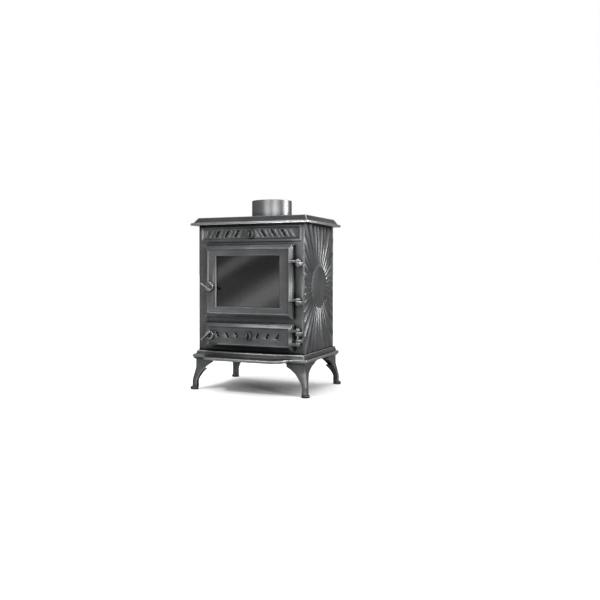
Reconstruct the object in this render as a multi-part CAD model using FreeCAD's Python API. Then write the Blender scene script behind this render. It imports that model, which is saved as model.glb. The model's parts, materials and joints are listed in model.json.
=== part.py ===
import FreeCAD, Part
import math
import os

# A cast iron wood stove on four cabriole legs: a glazed fire door over a slotted ash door,
# a slotted air vent above, sunburst side castings and a round flue collar on a hipped top.
# Millimetres. While it is drawn, x = 0 is the middle, y = 0 the front plate's face (y grows to the
# back) and z = 0 the floor. At the end all is moved so that the origin is the middle of the
# footprint, on the floor.

V = FreeCAD.Vector

# General clearances
overrun = 20.0               # how far a cutting tool runs past what it cuts
tiny = 0.01                  # reach of the searches for edges
rest_gap = 0.3               # gap between pieces that move past each other
running_gap = 0.05           # radial gap of a pin or spindle in its hole
bolt_gap = 0.3               # radial gap of a bolt in a plain hole

# Casing plates
casing_width = 412.0
casing_depth = 308.0
casing_height = 451.0
front_thickness = 8.0
side_thickness = 6.0
back_thickness = 6.0
corner_radius = 6.0          # rounded upright corners of the front plate
side_setback = 3.0           # the side castings lie this far inside the front plate's ends
back_border = 24.0           # raised border of the back plate
back_border_rise = 2.0

# Sunburst on the side castings
ray_count = 36
ray_disc_radius = 77.0
ray_edge_inset = 2.0         # rays stop this far from the casting's edges
ray_height = 4.2             # at the far corners
ray_centre_height = 1.3      # where all ridges would meet
ray_root = 4.4               # depth to which the rays run into the casting
disc_radius = 73.5
disc_rise = 0.8
disc_above_middle = 3.0      # the disc's centre above the middle of the casting
ray_width_share = 0.5        # of the pitch, at the casting's face
ray_crest_share = 0.34       # of the ray's own width

# Base plate with its bowed hearth
leg_height = 117.0
lip_thickness = 11.0
step_height = 15.0
lip_side_reach = 19.0        # beyond the casing
lip_back_reach = 10.0        # behind the casing
lip_front_reach = 18.0       # before the front plate's face, near the corners
hearth_reach = 86.0          # before the front plate's face, in the middle
hearth_root_inset = 47.0     # from the lip's end to where the hearth leaves the straight front
hearth_flat_inset = 108.0    # from the lip's end to the straight middle of the hearth
step_margin = 6.0            # foot of the step beyond the casing at the sides
step_top_margin = 1.2        # its top beyond the casing
step_foot_wall = 4.0         # upright part of its ends; they slope inwards above it
step_corner_reach = 11.5
step_bow_reach = 37.0
step_root_inset = 34.0       # from the step's end to where it leaves the straight front
step_bend_inset = 62.0
step_bend_reach = 17.0
step_corner_radius = 5.0
lip_corner_radius = 7.0
lip_top_radius = 3.4
lip_under_radius = 3.0
step_top_radius = 2.5
step_cove_radius = 2.6
pocket_margin = 36.0         # solid border round the hollow underside, inside the casing
floor_thickness = 7.0
# Points of the hearth's side curve: share of the way in from the root, share of the way out
root_bend_shares = [(0.155, 0.05), (0.235, 0.17)]
nose_bend_shares = [(0.41, 0.58), (0.61, 0.855)]
bend_share = 0.28            # of the step's bend, half way along it

# Legs
leg_side_inset = 10.5        # leg's face inside the base plate's lip
leg_front_inset = 8.5
leg_back_inset = 5.0
leg_wall = 8.0
front_wing_reach = 69.0      # from the leg's outer face along the front or back
side_wing_reach = 96.0       # and along the side
front_tip_drop = 17.0        # underside of the wings' tips below the top of the leg
side_tip_drop = 12.0
knee_drop = 37.0
calf_drop = 57.0
calf_out = 4.0
ankle_height = 33.0
ankle_out = 9.2
ankle_inner = 9.3            # from the outer face inwards
wing_bend_drop = 49.5
wing_bend_inner = 27.8
leg_hollow_drop = 43.0       # below this the leg is solid
leg_ridge_radius = 7.0
foot_radius = 14.5
foot_height = 11.0
foot_shoulder_radius = 5.0
foot_edge_radius = 1.2
foot_out = 2.5               # foot's centre beyond the leg's upper face
leg_flange_thickness = 7.0
leg_flange_edge = 3.5        # upright edge of the flange, above its slope
leg_flange_margin = 5.0
leg_flange_foot_margin = 0.8
leg_flange_width = 17.0
leg_pad_size = 34.0

# Tie rods that clamp top, casing, base and legs together
rod_radius = 4.0
rod_side_gap = 3.0           # from the side castings
rod_front_gap = 0.3          # from the front plate
rod_back_gap = 6.5           # from the back plate
rod_nut_across = 13.0
rod_nut_height = 6.5
rod_end = 3.0                # thread below the nut
rod_depth_in_top = 14.0

# Top plate
top_lip_thickness = 9.5
top_side_overhang = 24.0
top_front_overhang = 20.5
top_back_overhang = 11.8
top_ledge = 8.0
top_rise = 19.2              # from the ledge to the plateau
top_side_slope = 11.0
top_front_slope = 18.0
top_back_slope = 16.2
top_edge_radius = 3.2
top_under_radius = 2.0
top_pocket_margin = 28.0     # solid border of the hollow underside, inside the casing
top_skin = 8.0

# Flue collar
flue_outer_radius = 75.0
flue_wall = 4.0
flue_centre_depth = 193.0
collar_height = 69.3
collar_flange_radius = 95.0
collar_flange_thickness = 6.0
collar_foot_radius = 76.0    # thicker foot of the collar, inside its flange
collar_edge_radius = 1.2
collar_bolt_radius = 3.0
collar_bolt_circle = 86.0
collar_bolt_across = 10.0
collar_bolt_head = 4.0
collar_bolt_length = 12.0
collar_bolt_count = 4

# Doors, both made alike
door_side_margin = 33.0      # door's edge inside the casing's side
fire_door_above_base = 121.0
fire_door_below_top = 73.0
ash_door_above_base = 11.0
ash_door_height = 92.0
door_gap = 1.0               # door casting to front plate
door_edge = 7.0              # thickness of the flange round the door
door_flange = 2.8            # width of that flange, outside the moulding
mould_width = 20.5
mould_shoulder = 16.3        # top of the moulding's outer wall before the front plate's face
mould_top = 22.5             # its crest
crest_inset = 14.2           # from the door's edge
crest_width = 3.4
crest_drop = 0.7
panel_face = 20.0            # panel's face before the front plate's face
panel_thickness = 6.0
door_overlap = 11.5          # of the door over the edge of its opening
rope_width = 6.0
rope_depth = 4.6
rope_corner_radius = 8.0

# Window
window_side_margin = 50.0    # from the door's edge
window_end_margin = 39.0
window_bevel = 2.5
glass_margin = 9.0
glass_thickness = 4.0
clip_inset = 51.0            # clips from the window's sides
clip_width = 16.0
clip_thickness = 1.5
clip_grip = 5.0              # clip over the glass
clip_boss_radius = 4.0
clip_screw_radius = 2.0
clip_head_radius = 3.6
clip_head_height = 2.6

# Hinges
hinge_inset = 16.0           # axis inside the casing's side
hinge_out = 16.0             # axis before the front plate's face
eye_radius = 9.0
pin_radius = 3.2
pin_head_radius = 6.6
pin_head_height = 3.8
pin_tail = 3.0
lug_root_inset = 14.0        # inner side of the lugs' roots, inside the casing's side
lug_root_edge = 2.5
arm_thickness = 6.7
arm_tip = 14.0               # how far an arm runs over the door's moulding
fire_lug_height = 12.0
fire_upper_lug_drop = 74.0   # below the door's top
fire_lower_lug_rise = 51.0   # above the door's foot
ash_lug_height = 11.5
ash_upper_lug_drop = 36.5
ash_lower_lug_rise = 30.0
ash_arm_thickness = 9.0
neck_root_share = 0.6        # of the eye's radius: where a lug's neck leaves the eye
neck_side_share = 0.8
strap_rise_share = 0.9       # of the eye's radius: strap before the axis at the door's edge

# Handles and latches
latch_inset = 25.0           # spindle from the door's edge
fire_latch_rise = 109.8      # above the door's foot
ash_latch_rise = 46.0
fire_handle_tilt = -30.5
ash_handle_tilt = 40.0
handle_seat_radius = 13.5
handle_base_radius = 17.0
handle_base_thickness = 5.0
handle_neck_radius = 9.0
handle_throat_radius = 5.0
handle_neck_length = 12.0
wing_length = 50.5
wing_root_width = 19.0
wing_reach = 26.5            # front edge before the base disc
wing_end_height = 7.0
wing_thickness = 5.6
wing_corner_radius = 2.6
wing_round = 2.2
wing_bend_out_share = 0.22   # of the way from root to end, half way along the fan's side
wing_bend_reach_share = 0.55
spindle_radius = 3.0
guide_radius = 6.5
cam_hub_radius = 5.2
cam_thickness = 5.0
cam_reach = 24.0
cam_tip_radius = 3.6
latch_nut_across = 9.0
latch_nut_height = 4.0

# Air vent above the fire door
vent_side_margin = 7.0       # rim inside the casing's side
vent_top_margin = 5.0        # rim below the casing's top
vent_height = 59.8
vent_rise = 3.0
vent_low_bevel = 5.4         # outer slope of the rim below
vent_edge_bevel = 2.0        # and at its ends and top
vent_rim = 8.0               # from the rim's outer edge to the field, at the ends
vent_rim_low = 11.4
vent_rim_high = 5.8
vent_sink = 2.0              # field behind the front plate's face
vent_bevel = 4.4             # slope from the rim down to the field
vent_slot_first = 52.0
vent_slot_end_margin = 23.5  # last closed slot from the field's end
vent_slot_drop = 32.0        # slots' centre below the casing's top
vent_slot_height = 27.5
vent_slot_width = 10.4       # level
vent_slot_slant = 17.5
vent_blind_width = 9.4
vent_blind_depth = 1.2
vent_shutter_shift = 3.0     # how far past fully open it stands

# Air slots of the ash door
ash_slot_first = 40.5
ash_slot_end_margin = 35.5   # last slot from the moulding
ash_slot_rise = 49.0         # above the door's foot
ash_slot_height = 21.5
ash_slot_width = 10.0        # level
ash_slot_slant = 11.0
ash_shutter_shift = 4.5

# Air shutters and their knobs
slot_count = 3               # each side of the knob
closing_lap = 0.6            # travel beyond a slot's width
shutter_thickness = 2.0
shutter_end_margin = 13.0
shutter_edge_margin = 4.5
guide_height = 3.0
guide_depth = 2.8
knob_drop = 2.5              # below the slots' centre
knob_radius = 14.5
knob_thickness = 4.0
knob_edge = 1.2
fin_radius = 11.5
fin_thickness = 3.7
stem_radius = 3.0

# Inside
floor_above_ash_door = 4.0   # firebox floor
firebox_floor_thickness = 8.0
ledge_width = 12.0
ledge_height = 8.0
ledge_end_gap = 22.0
floor_notch = 20.0
grate_side_margin = 82.0     # from the side castings
grate_front_margin = 48.0    # from the front plate
grate_back_margin = 50.0     # from the back plate
grate_thickness = 9.0
grate_seat = 6.0
grate_rebate = 4.0
grate_slot_width = 8.0
grate_slot_count = 11
grate_slot_end_margin = 25.0
grate_slot_margin = 16.0
brick_thickness = 25.0
side_brick_top_gap = 114.0   # below the casing's top
rear_brick_top_gap = 94.0
side_brick_front_gap = 24.0
brick_gap = 1.5
guard_front_gap = 12.0
guard_thickness = 8.0
guard_height = 42.0
guard_foot = 14.0
guard_gap = 16.0             # open height under the guard's rail
guard_foot_count = 5
baffle_thickness = 9.0
baffle_front_gap = 72.0
baffle_lip = 16.0
deflector_thickness = 2.0
deflector_depth = 20.0
deflector_side_gap = 19.0
deflector_drop = 80.0

# Ash pan on its runners
pan_side_gap = 16.5          # from the ash opening's sides
pan_top_gap = 10.0           # below the ash opening's top
pan_front_gap = 16.0
pan_back_gap = 34.0
pan_wall = 2.0
pan_grip_half = 45.0
pan_grip_reach = 6.0
pan_grip_thickness = 3.0
runner_inset = 33.0          # runner's centre inside the pan's side
runner_width = 8.0
runner_sill = 1.0            # runner's top above the ash opening's sill
runner_front_gap = 8.0
runner_back_inset = 6.0      # runner's end before the pan's back

# Places worked out from the sizes above
half_width = casing_width / 2
side_face = half_width - side_setback
side_inner = side_face - side_thickness
back_inner = casing_depth - back_thickness
lip_top = leg_height + lip_thickness
base_top = lip_top + step_height
casing_top = base_top + casing_height
top_lip_high = casing_top + top_lip_thickness
plateau = top_lip_high + top_rise
flue_inner_radius = flue_outer_radius - flue_wall
lip_half_width = half_width + lip_side_reach
lip_back = casing_depth + lip_back_reach
hearth_root_half = lip_half_width - hearth_root_inset
hearth_flat_half = lip_half_width - hearth_flat_inset
step_half_width = half_width + step_margin
step_root_half = step_half_width - step_root_inset
step_bend_half = step_half_width - step_bend_inset
front_tip_height = leg_height - front_tip_drop
side_tip_height = leg_height - side_tip_drop
knee_height = leg_height - knee_drop
calf_height = leg_height - calf_drop
wing_bend_height = leg_height - wing_bend_drop
leg_hollow_height = leg_height - leg_hollow_drop
leg_face = lip_half_width - leg_side_inset
leg_front_face = -(lip_front_reach - leg_front_inset)
leg_back_face = lip_back - leg_back_inset
rod_x = side_inner - rod_side_gap - rod_radius
rod_front = front_thickness + rod_front_gap + rod_radius
rod_back = back_inner - rod_back_gap - rod_radius
door_half_width = half_width - door_side_margin
door_inner_half = door_half_width - mould_width
fire_door_low = base_top + fire_door_above_base
fire_door_high = casing_top - fire_door_below_top
ash_door_low = base_top + ash_door_above_base
ash_door_high = ash_door_low + ash_door_height
opening_half = door_half_width - door_overlap
fire_opening_low = fire_door_low + door_overlap
fire_opening_high = fire_door_high - door_overlap
ash_opening_low = ash_door_low + door_overlap
ash_opening_high = ash_door_high - door_overlap
panel_back = -(panel_face - panel_thickness)
window_half_width = door_half_width - window_side_margin
window_low = fire_door_low + window_end_margin
window_high = fire_door_high - window_end_margin
glass_back = panel_back + glass_thickness
hinge_x = half_width - hinge_inset
fire_upper_lug_low = fire_door_high - fire_upper_lug_drop
fire_lower_lug_low = fire_door_low + fire_lower_lug_rise
ash_upper_lug_low = ash_door_high - ash_upper_lug_drop
ash_lower_lug_low = ash_door_low + ash_lower_lug_rise
latch_x = -(door_half_width - latch_inset)
fire_latch_z = fire_door_low + fire_latch_rise
ash_latch_z = ash_door_low + ash_latch_rise
vent_half_width = half_width - vent_side_margin
vent_high = casing_top - vent_top_margin
vent_low = vent_high - vent_height
vent_field_half = vent_half_width - vent_rim
vent_slot_pitch = (vent_field_half - vent_slot_end_margin - vent_slot_first) / slot_count
vent_slot_centre_z = casing_top - vent_slot_drop
vent_knob_z = vent_slot_centre_z - knob_drop
vent_travel = vent_slot_width + closing_lap
ash_slot_pitch = (door_inner_half - ash_slot_end_margin - ash_slot_first) / (slot_count - 1)
ash_slot_centre_z = ash_door_low + ash_slot_rise
ash_knob_z = ash_slot_centre_z - knob_drop
ash_travel = ash_slot_width + closing_lap
floor_low = ash_door_high + floor_above_ash_door
firebox_floor_top = floor_low + firebox_floor_thickness
grate_half_width = side_inner - grate_side_margin
grate_front = front_thickness + grate_front_margin
grate_back = back_inner - grate_back_margin
side_brick_top = casing_top - side_brick_top_gap
rear_brick_top = casing_top - rear_brick_top_gap
pan_half_width = opening_half - pan_side_gap
pan_front = front_thickness + pan_front_gap
pan_back = back_inner - pan_back_gap
runner_centre = pan_half_width - runner_inset
footprint_front = -hearth_reach
footprint_back = leg_back_face + foot_out + foot_radius
footprint_middle = (footprint_front + footprint_back) / 2


# Basic solids

def block(x0, x1, y0, y1, z0, z1):
    return Part.makeBox(x1 - x0, y1 - y0, z1 - z0, V(x0, y0, z0))


def rod_along_y(x, z, radius, y0, y1):
    return Part.makeCylinder(radius, y1 - y0, V(x, y0, z), V(0, 1, 0))


def rod_along_z(x, y, radius, z0, z1):
    return Part.makeCylinder(radius, z1 - z0, V(x, y, z0), V(0, 0, 1))


def prism(points, direction):
    wire = Part.makePolygon(points + points[:1])
    return Part.Face(wire).extrude(direction)


def hexagon_prism(x, y, z0, z1, across):
    corner = across / math.sqrt(3)
    points = []
    for turn in range(6):
        angle = math.radians(60 * turn)
        points.append(V(x + corner * math.cos(angle), y + corner * math.sin(angle), z0))
    return prism(points, V(0, 0, z1 - z0))


def frustum(first, second):
    """A solid between two four-cornered faces with matching corners."""
    faces = [Part.Face(Part.makePolygon(corners + corners[:1])) for corners in (first, second)]
    for index in range(4):
        following = (index + 1) % 4
        side = [first[index], first[following], second[following], second[index], first[index]]
        faces.append(Part.Face(Part.makePolygon(side)))
    return Part.Solid(Part.Shell(faces))


def flat_rectangle(x0, x1, y0, y1, z):
    return [V(x0, y0, z), V(x1, y0, z), V(x1, y1, z), V(x0, y1, z)]


def upright_rectangle(half, z0, z1, y):
    return [V(-half, y, z0), V(half, y, z0), V(half, y, z1), V(-half, y, z1)]


def stadium_along_y(x0, z0, x1, z1, radius, y0, y1):
    """A bar with round ends between two points of an upright plane."""
    along = V(x1 - x0, 0, z1 - z0)
    across = V(-along.z, 0, along.x).normalize() * radius
    low, high = V(x0, y0, z0), V(x1, y0, z1)
    tip = along * (radius / along.Length)
    edges = [
        Part.LineSegment(low + across, high + across).toShape(),
        Part.Arc(high + across, high + tip, high - across).toShape(),
        Part.LineSegment(high - across, low - across).toShape(),
        Part.Arc(low - across, low - tip, low + across).toShape(),
    ]
    return Part.Face(Part.Wire(edges)).extrude(V(0, y1 - y0, 0))


def slanted_slot(x, z, height, width, slant, y0, y1):
    """An air slot that leans sideways by slant over its height; its width is measured level."""
    radius = width / 2 / math.hypot(1, slant / height)
    rise = height / 2 - radius
    lean = rise * slant / height
    return stadium_along_y(x - lean, z - rise, x + lean, z + rise, radius, y0, y1)


def mirrored(shape):
    return shape.mirror(V(0, 0, 0), V(1, 0, 0))


def joined(first, others):
    return first.fuse(others).removeSplitter()


def rounded(shape, radius, wanted):
    edges = [edge for edge in shape.Edges if wanted(edge)]
    return shape.makeFillet(radius, edges)


def middle_of(edge):
    half = (edge.FirstParameter + edge.LastParameter) / 2
    return edge.valueAt(half)


def lies_on(edge, wire):
    return wire.distToShape(Part.Vertex(middle_of(edge)))[0] < tiny


# Top plate and flue

def top_rectangle(inset_x, inset_front, inset_back, z):
    half = half_width + top_side_overhang - inset_x
    front = -top_front_overhang + inset_front
    back = casing_depth + top_back_overhang - inset_back
    return flat_rectangle(-half, half, front, back, z)


def make_top_plate():
    outline = top_rectangle(0, 0, 0, casing_top)
    lip = prism(outline, V(0, 0, top_lip_thickness))
    upper = Part.makePolygon([point + V(0, 0, top_lip_thickness) for point in outline + outline[:1]])
    lower = Part.makePolygon(outline + outline[:1])
    lip = rounded(lip, top_edge_radius, lambda edge: lies_on(edge, upper))
    lip = rounded(lip, top_under_radius, lambda edge: lies_on(edge, lower))
    foot = top_rectangle(top_ledge, top_ledge, top_ledge, top_lip_high)
    inner_x = top_ledge + top_side_slope
    crown = top_rectangle(inner_x, top_ledge + top_front_slope, top_ledge + top_back_slope, plateau)
    plate = joined(lip, [frustum(foot, crown)])
    pocket_half = half_width - top_pocket_margin
    pocket = block(-pocket_half, pocket_half, top_pocket_margin, casing_depth - top_pocket_margin,
                   casing_top - overrun, plateau - top_skin)
    plate = plate.cut(pocket)
    plate = plate.cut(rod_along_z(0, flue_centre_depth, flue_inner_radius, casing_top, plateau + overrun))
    for x in (-rod_x, rod_x):
        for y in (rod_front, rod_back):
            hole = rod_along_z(x, y, rod_radius + running_gap, casing_top - overrun,
                               casing_top + rod_depth_in_top)
            plate = plate.cut(hole)
    for x, y in collar_bolt_places():
        depth = collar_bolt_length - collar_flange_thickness
        hole = rod_along_z(x, y, collar_bolt_radius + running_gap, plateau - depth, plateau + overrun)
        plate = plate.cut(hole)
    return plate


def collar_bolt_places():
    places = []
    for index in range(collar_bolt_count):
        angle = math.radians(45 + 360 * index / collar_bolt_count)
        x = collar_bolt_circle * math.cos(angle)
        y = flue_centre_depth + collar_bolt_circle * math.sin(angle)
        places.append((x, y))
    return places


def make_flue_collar():
    collar = rod_along_z(0, flue_centre_depth, flue_outer_radius, plateau, plateau + collar_height)
    foot = rod_along_z(0, flue_centre_depth, collar_foot_radius, plateau, plateau + collar_flange_thickness)
    collar = joined(collar, [foot])
    collar = collar.cut(rod_along_z(0, flue_centre_depth, flue_inner_radius, plateau - overrun,
                                    plateau + collar_height + overrun))
    return rounded(collar, collar_edge_radius,
                   lambda edge: edge.BoundBox.ZMin > plateau + collar_height - tiny)


def make_collar_ring():
    """The flange round the collar's foot, bolted to the top plate."""
    top = plateau + collar_flange_thickness
    ring = rod_along_z(0, flue_centre_depth, collar_flange_radius, plateau, top)
    ring = ring.cut(rod_along_z(0, flue_centre_depth, collar_foot_radius + running_gap, plateau - overrun,
                                plateau + overrun))
    for x, y in collar_bolt_places():
        hole = rod_along_z(x, y, collar_bolt_radius + running_gap, plateau - overrun, plateau + overrun)
        ring = ring.cut(hole)
    return ring


def make_collar_bolts():
    bolts = []
    flange_top = plateau + collar_flange_thickness
    for x, y in collar_bolt_places():
        head = hexagon_prism(x, y, flange_top, flange_top + collar_bolt_head, collar_bolt_across)
        shank = rod_along_z(x, y, collar_bolt_radius, flange_top - collar_bolt_length, flange_top)
        bolts.append(joined(head, [shank]))
    return Part.makeCompound(bolts)


# Front plate with its vent field, door openings and hinge lugs

def vent_places():
    """Each open slot's x and the side it leans to: tops lean towards the middle."""
    places = []
    for index in range(slot_count):
        x = vent_slot_first + index * vent_slot_pitch
        places.append((x, -vent_slot_slant))
        places.append((-x, vent_slot_slant))
    return places


def blind_places():
    """The closed slots, which are only sunk: between the open ones and beyond the last."""
    places = []
    for index in range(slot_count + 1):
        x = vent_slot_first + (index - 0.5) * vent_slot_pitch
        places.append((x, -vent_slot_slant))
        places.append((-x, vent_slot_slant))
    last = vent_slot_first + slot_count * vent_slot_pitch
    places.append((last, -vent_slot_slant))
    places.append((-last, vent_slot_slant))
    return places


def ash_slot_places():
    """Each ash door slot's x and lean: tops lean away from the middle."""
    places = []
    for index in range(slot_count):
        x = ash_slot_first + index * ash_slot_pitch
        places.append((x, ash_slot_slant))
        places.append((-x, -ash_slot_slant))
    return places


def vent_shutter_edges():
    low = vent_slot_centre_z - vent_slot_height / 2 - shutter_edge_margin
    high = vent_slot_centre_z + vent_slot_height / 2 + shutter_edge_margin
    return low, high


def ash_shutter_edges():
    low = ash_slot_centre_z - ash_slot_height / 2 - shutter_edge_margin
    high = ash_slot_centre_z + ash_slot_height / 2 + shutter_edge_margin
    return low, high


def hinge_lug(z0, height):
    """An eye round the pin and the neck that carries it from the front plate."""
    eye = rod_along_z(hinge_x, -hinge_out, eye_radius, z0, z0 + height)
    outer = half_width - lug_root_edge
    inner = half_width - lug_root_inset
    neck = prism([V(hinge_x - eye_radius * neck_root_share, -hinge_out + eye_radius * neck_side_share, z0),
                  V(hinge_x + eye_radius * neck_side_share, -hinge_out - eye_radius * neck_root_share, z0),
                  V(outer, -corner_radius, z0),
                  V(outer, front_thickness / 2, z0),
                  V(inner, front_thickness / 2, z0)], V(0, 0, height))
    return eye.fuse(neck)


def make_front_plate():
    plate = block(-half_width, half_width, 0, front_thickness, base_top, casing_top)
    plate = rounded(plate, corner_radius,
                    lambda edge: edge.BoundBox.ZLength > casing_height / 2 and edge.BoundBox.YMax < tiny)
    rim = frustum(upright_rectangle(vent_half_width, vent_low, vent_high, 0),
                  upright_rectangle(vent_half_width - vent_edge_bevel, vent_low + vent_low_bevel,
                                    vent_high - vent_edge_bevel, -vent_rise))
    field_low = vent_low + vent_rim_low
    field_high = vent_high - vent_rim_high
    field_depth = vent_rise + vent_sink
    field = frustum(upright_rectangle(vent_field_half + vent_bevel, field_low - vent_bevel,
                                      field_high + vent_bevel, -vent_rise - field_depth),
                    upright_rectangle(vent_field_half - vent_bevel, field_low + vent_bevel,
                                      field_high - vent_bevel, vent_sink))
    lugs = []
    for z0 in (fire_upper_lug_low, fire_lower_lug_low):
        lugs.append(hinge_lug(z0, fire_lug_height))
    for z0 in (ash_upper_lug_low, ash_lower_lug_low):
        lugs.append(hinge_lug(z0, ash_lug_height))
    low, high = vent_shutter_edges()
    guide_half = shutter_half_width(vent_slot_first, vent_slot_pitch) + vent_travel
    guides = []
    for z0 in (low - rest_gap - guide_height, high + rest_gap):
        guides.append(block(-guide_half, guide_half, front_thickness, front_thickness + guide_depth,
                            z0, z0 + guide_height))
    plate = joined(plate, [rim] + lugs + guides).cut(field)
    cutters = []
    for z0, z1 in ((fire_opening_low, fire_opening_high), (ash_opening_low, ash_opening_high)):
        cutters.append(block(-opening_half, opening_half, -overrun, overrun, z0, z1))
    for x, slant in vent_places():
        cutters.append(slanted_slot(x, vent_slot_centre_z, vent_slot_height, vent_slot_width, slant,
                                    -overrun, overrun))
    for x, slant in blind_places():
        cutters.append(slanted_slot(x, vent_slot_centre_z, vent_slot_height, vent_blind_width, slant,
                                    -overrun, vent_sink + vent_blind_depth))
    cutters.append(stadium_along_y(0, vent_knob_z, vent_travel, vent_knob_z, stem_radius + rest_gap,
                                   -overrun, overrun))
    cutters.append(rod_along_z(hinge_x, -hinge_out, pin_radius + running_gap, base_top, casing_top))
    return plate.cut(cutters)


# Side and back castings

def ray(angle, centre_y, centre_z, reach):
    """One ridge of the sunburst: a pyramid whose point lies over the disc's centre."""
    out = V(0, math.cos(angle), math.sin(angle))
    across = V(0, -math.sin(angle), math.cos(angle))
    half_face = reach * math.tan(math.pi / ray_count) * ray_width_share
    half_crest = half_face * ray_crest_share
    half_root = half_face + (half_face - half_crest) * ray_root / ray_height
    centre = V(side_face, centre_y, centre_z)
    point = centre + V(ray_centre_height, 0, 0)
    crest = centre + out * reach + V(ray_height, 0, 0)
    root = centre + out * reach - V(ray_root, 0, 0)
    corners = [root - across * half_root, root + across * half_root,
               crest + across * half_crest, crest - across * half_crest]
    faces = [Part.Face(Part.makePolygon(corners + corners[:1]))]
    for index in range(4):
        following = (index + 1) % 4
        faces.append(Part.Face(Part.makePolygon([point, corners[index], corners[following], point])))
    return Part.Solid(Part.Shell(faces))


def make_right_side():
    panel = block(side_inner, side_face, front_thickness, back_inner, base_top, casing_top)
    centre_y = (front_thickness + back_inner) / 2
    centre_z = (base_top + casing_top) / 2 + disc_above_middle
    reach = math.hypot(back_inner - front_thickness, casing_height) / 2 + overrun
    window = block(side_face - side_thickness / 2, side_face + overrun,
                   front_thickness + ray_edge_inset, back_inner - ray_edge_inset,
                   base_top + ray_edge_inset, casing_top - ray_edge_inset)
    core = Part.makeCylinder(ray_disc_radius, side_thickness + overrun,
                             V(side_inner, centre_y, centre_z), V(1, 0, 0))
    field = window.cut(core)
    rays = []
    for index in range(ray_count):
        angle = 2 * math.pi * index / ray_count
        rays.append(ray(angle, centre_y, centre_z, reach).common(field))
    disc = Part.makeCylinder(disc_radius, side_thickness / 2 + disc_rise,
                             V(side_face - side_thickness / 2, centre_y, centre_z), V(1, 0, 0))
    ledge = block(side_inner - ledge_width, side_inner, front_thickness + ledge_end_gap,
                  back_inner - ledge_end_gap, floor_low - ledge_height, floor_low)
    return joined(panel, rays + [disc, ledge])


def make_back_plate():
    plate = block(-side_face, side_face, back_inner, casing_depth, base_top, casing_top)
    border = block(-side_face, side_face, casing_depth, casing_depth + back_border_rise,
                   base_top, casing_top)
    field = frustum(upright_rectangle(side_face - back_border, base_top + back_border,
                                      casing_top - back_border, casing_depth),
                    upright_rectangle(side_face - back_border + back_border_rise,
                                      base_top + back_border - back_border_rise,
                                      casing_top - back_border + back_border_rise,
                                      casing_depth + back_border_rise))
    plate = joined(plate, [border.cut(field)])
    return rounded(plate, back_border_rise,
                   lambda edge: edge.BoundBox.ZLength > casing_height - tiny
                   and edge.BoundBox.YMin > casing_depth + back_border_rise - tiny)


# Base plate

def hearth_point(shares, z):
    inward, outward = shares
    x = hearth_root_half - (hearth_root_half - hearth_flat_half) * inward
    y = -lip_front_reach - (hearth_reach - lip_front_reach) * outward
    return V(x, y, z)


def lip_outline(z):
    """The hearth's plan: straight front near the corners, an S curve each side and a flat nose."""
    back = V(lip_half_width, lip_back, z)
    corner = V(lip_half_width, -lip_front_reach, z)
    root = hearth_point((0, 0), z)
    bend = [hearth_point(shares, z) for shares in root_bend_shares]
    nose = [hearth_point(shares, z) for shares in nose_bend_shares]
    flat = hearth_point((1, 1), z)
    half = [
        Part.LineSegment(back, corner).toShape(),
        Part.LineSegment(corner, root).toShape(),
        Part.Arc(root, bend[0], bend[1]).toShape(),
        Part.LineSegment(bend[1], nose[0]).toShape(),
        Part.Arc(nose[0], nose[1], flat).toShape(),
    ]
    edges = half + [mirrored(edge) for edge in half]
    edges.append(Part.LineSegment(flat, V(-flat.x, flat.y, z)).toShape())
    edges.append(Part.LineSegment(back, V(-back.x, back.y, z)).toShape())
    return Part.Wire(Part.__sortEdges__(edges))


def step_outline(z):
    back = V(step_half_width, lip_back, z)
    corner = V(step_half_width, -step_corner_reach, z)
    root = V(step_root_half, -step_corner_reach, z)
    bend_x = (step_root_half + step_bend_half) / 2
    bend_y = step_corner_reach + (step_bend_reach - step_corner_reach) * bend_share
    end = V(step_bend_half, -step_bend_reach, z)
    half = [
        Part.LineSegment(back, corner).toShape(),
        Part.LineSegment(corner, root).toShape(),
        Part.Arc(root, V(bend_x, -bend_y, z), end).toShape(),
    ]
    edges = half + [mirrored(edge) for edge in half]
    edges.append(Part.Arc(end, V(0, -step_bow_reach, z), V(-end.x, end.y, z)).toShape())
    edges.append(Part.LineSegment(back, V(-back.x, back.y, z)).toShape())
    return Part.Wire(Part.__sortEdges__(edges))


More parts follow.
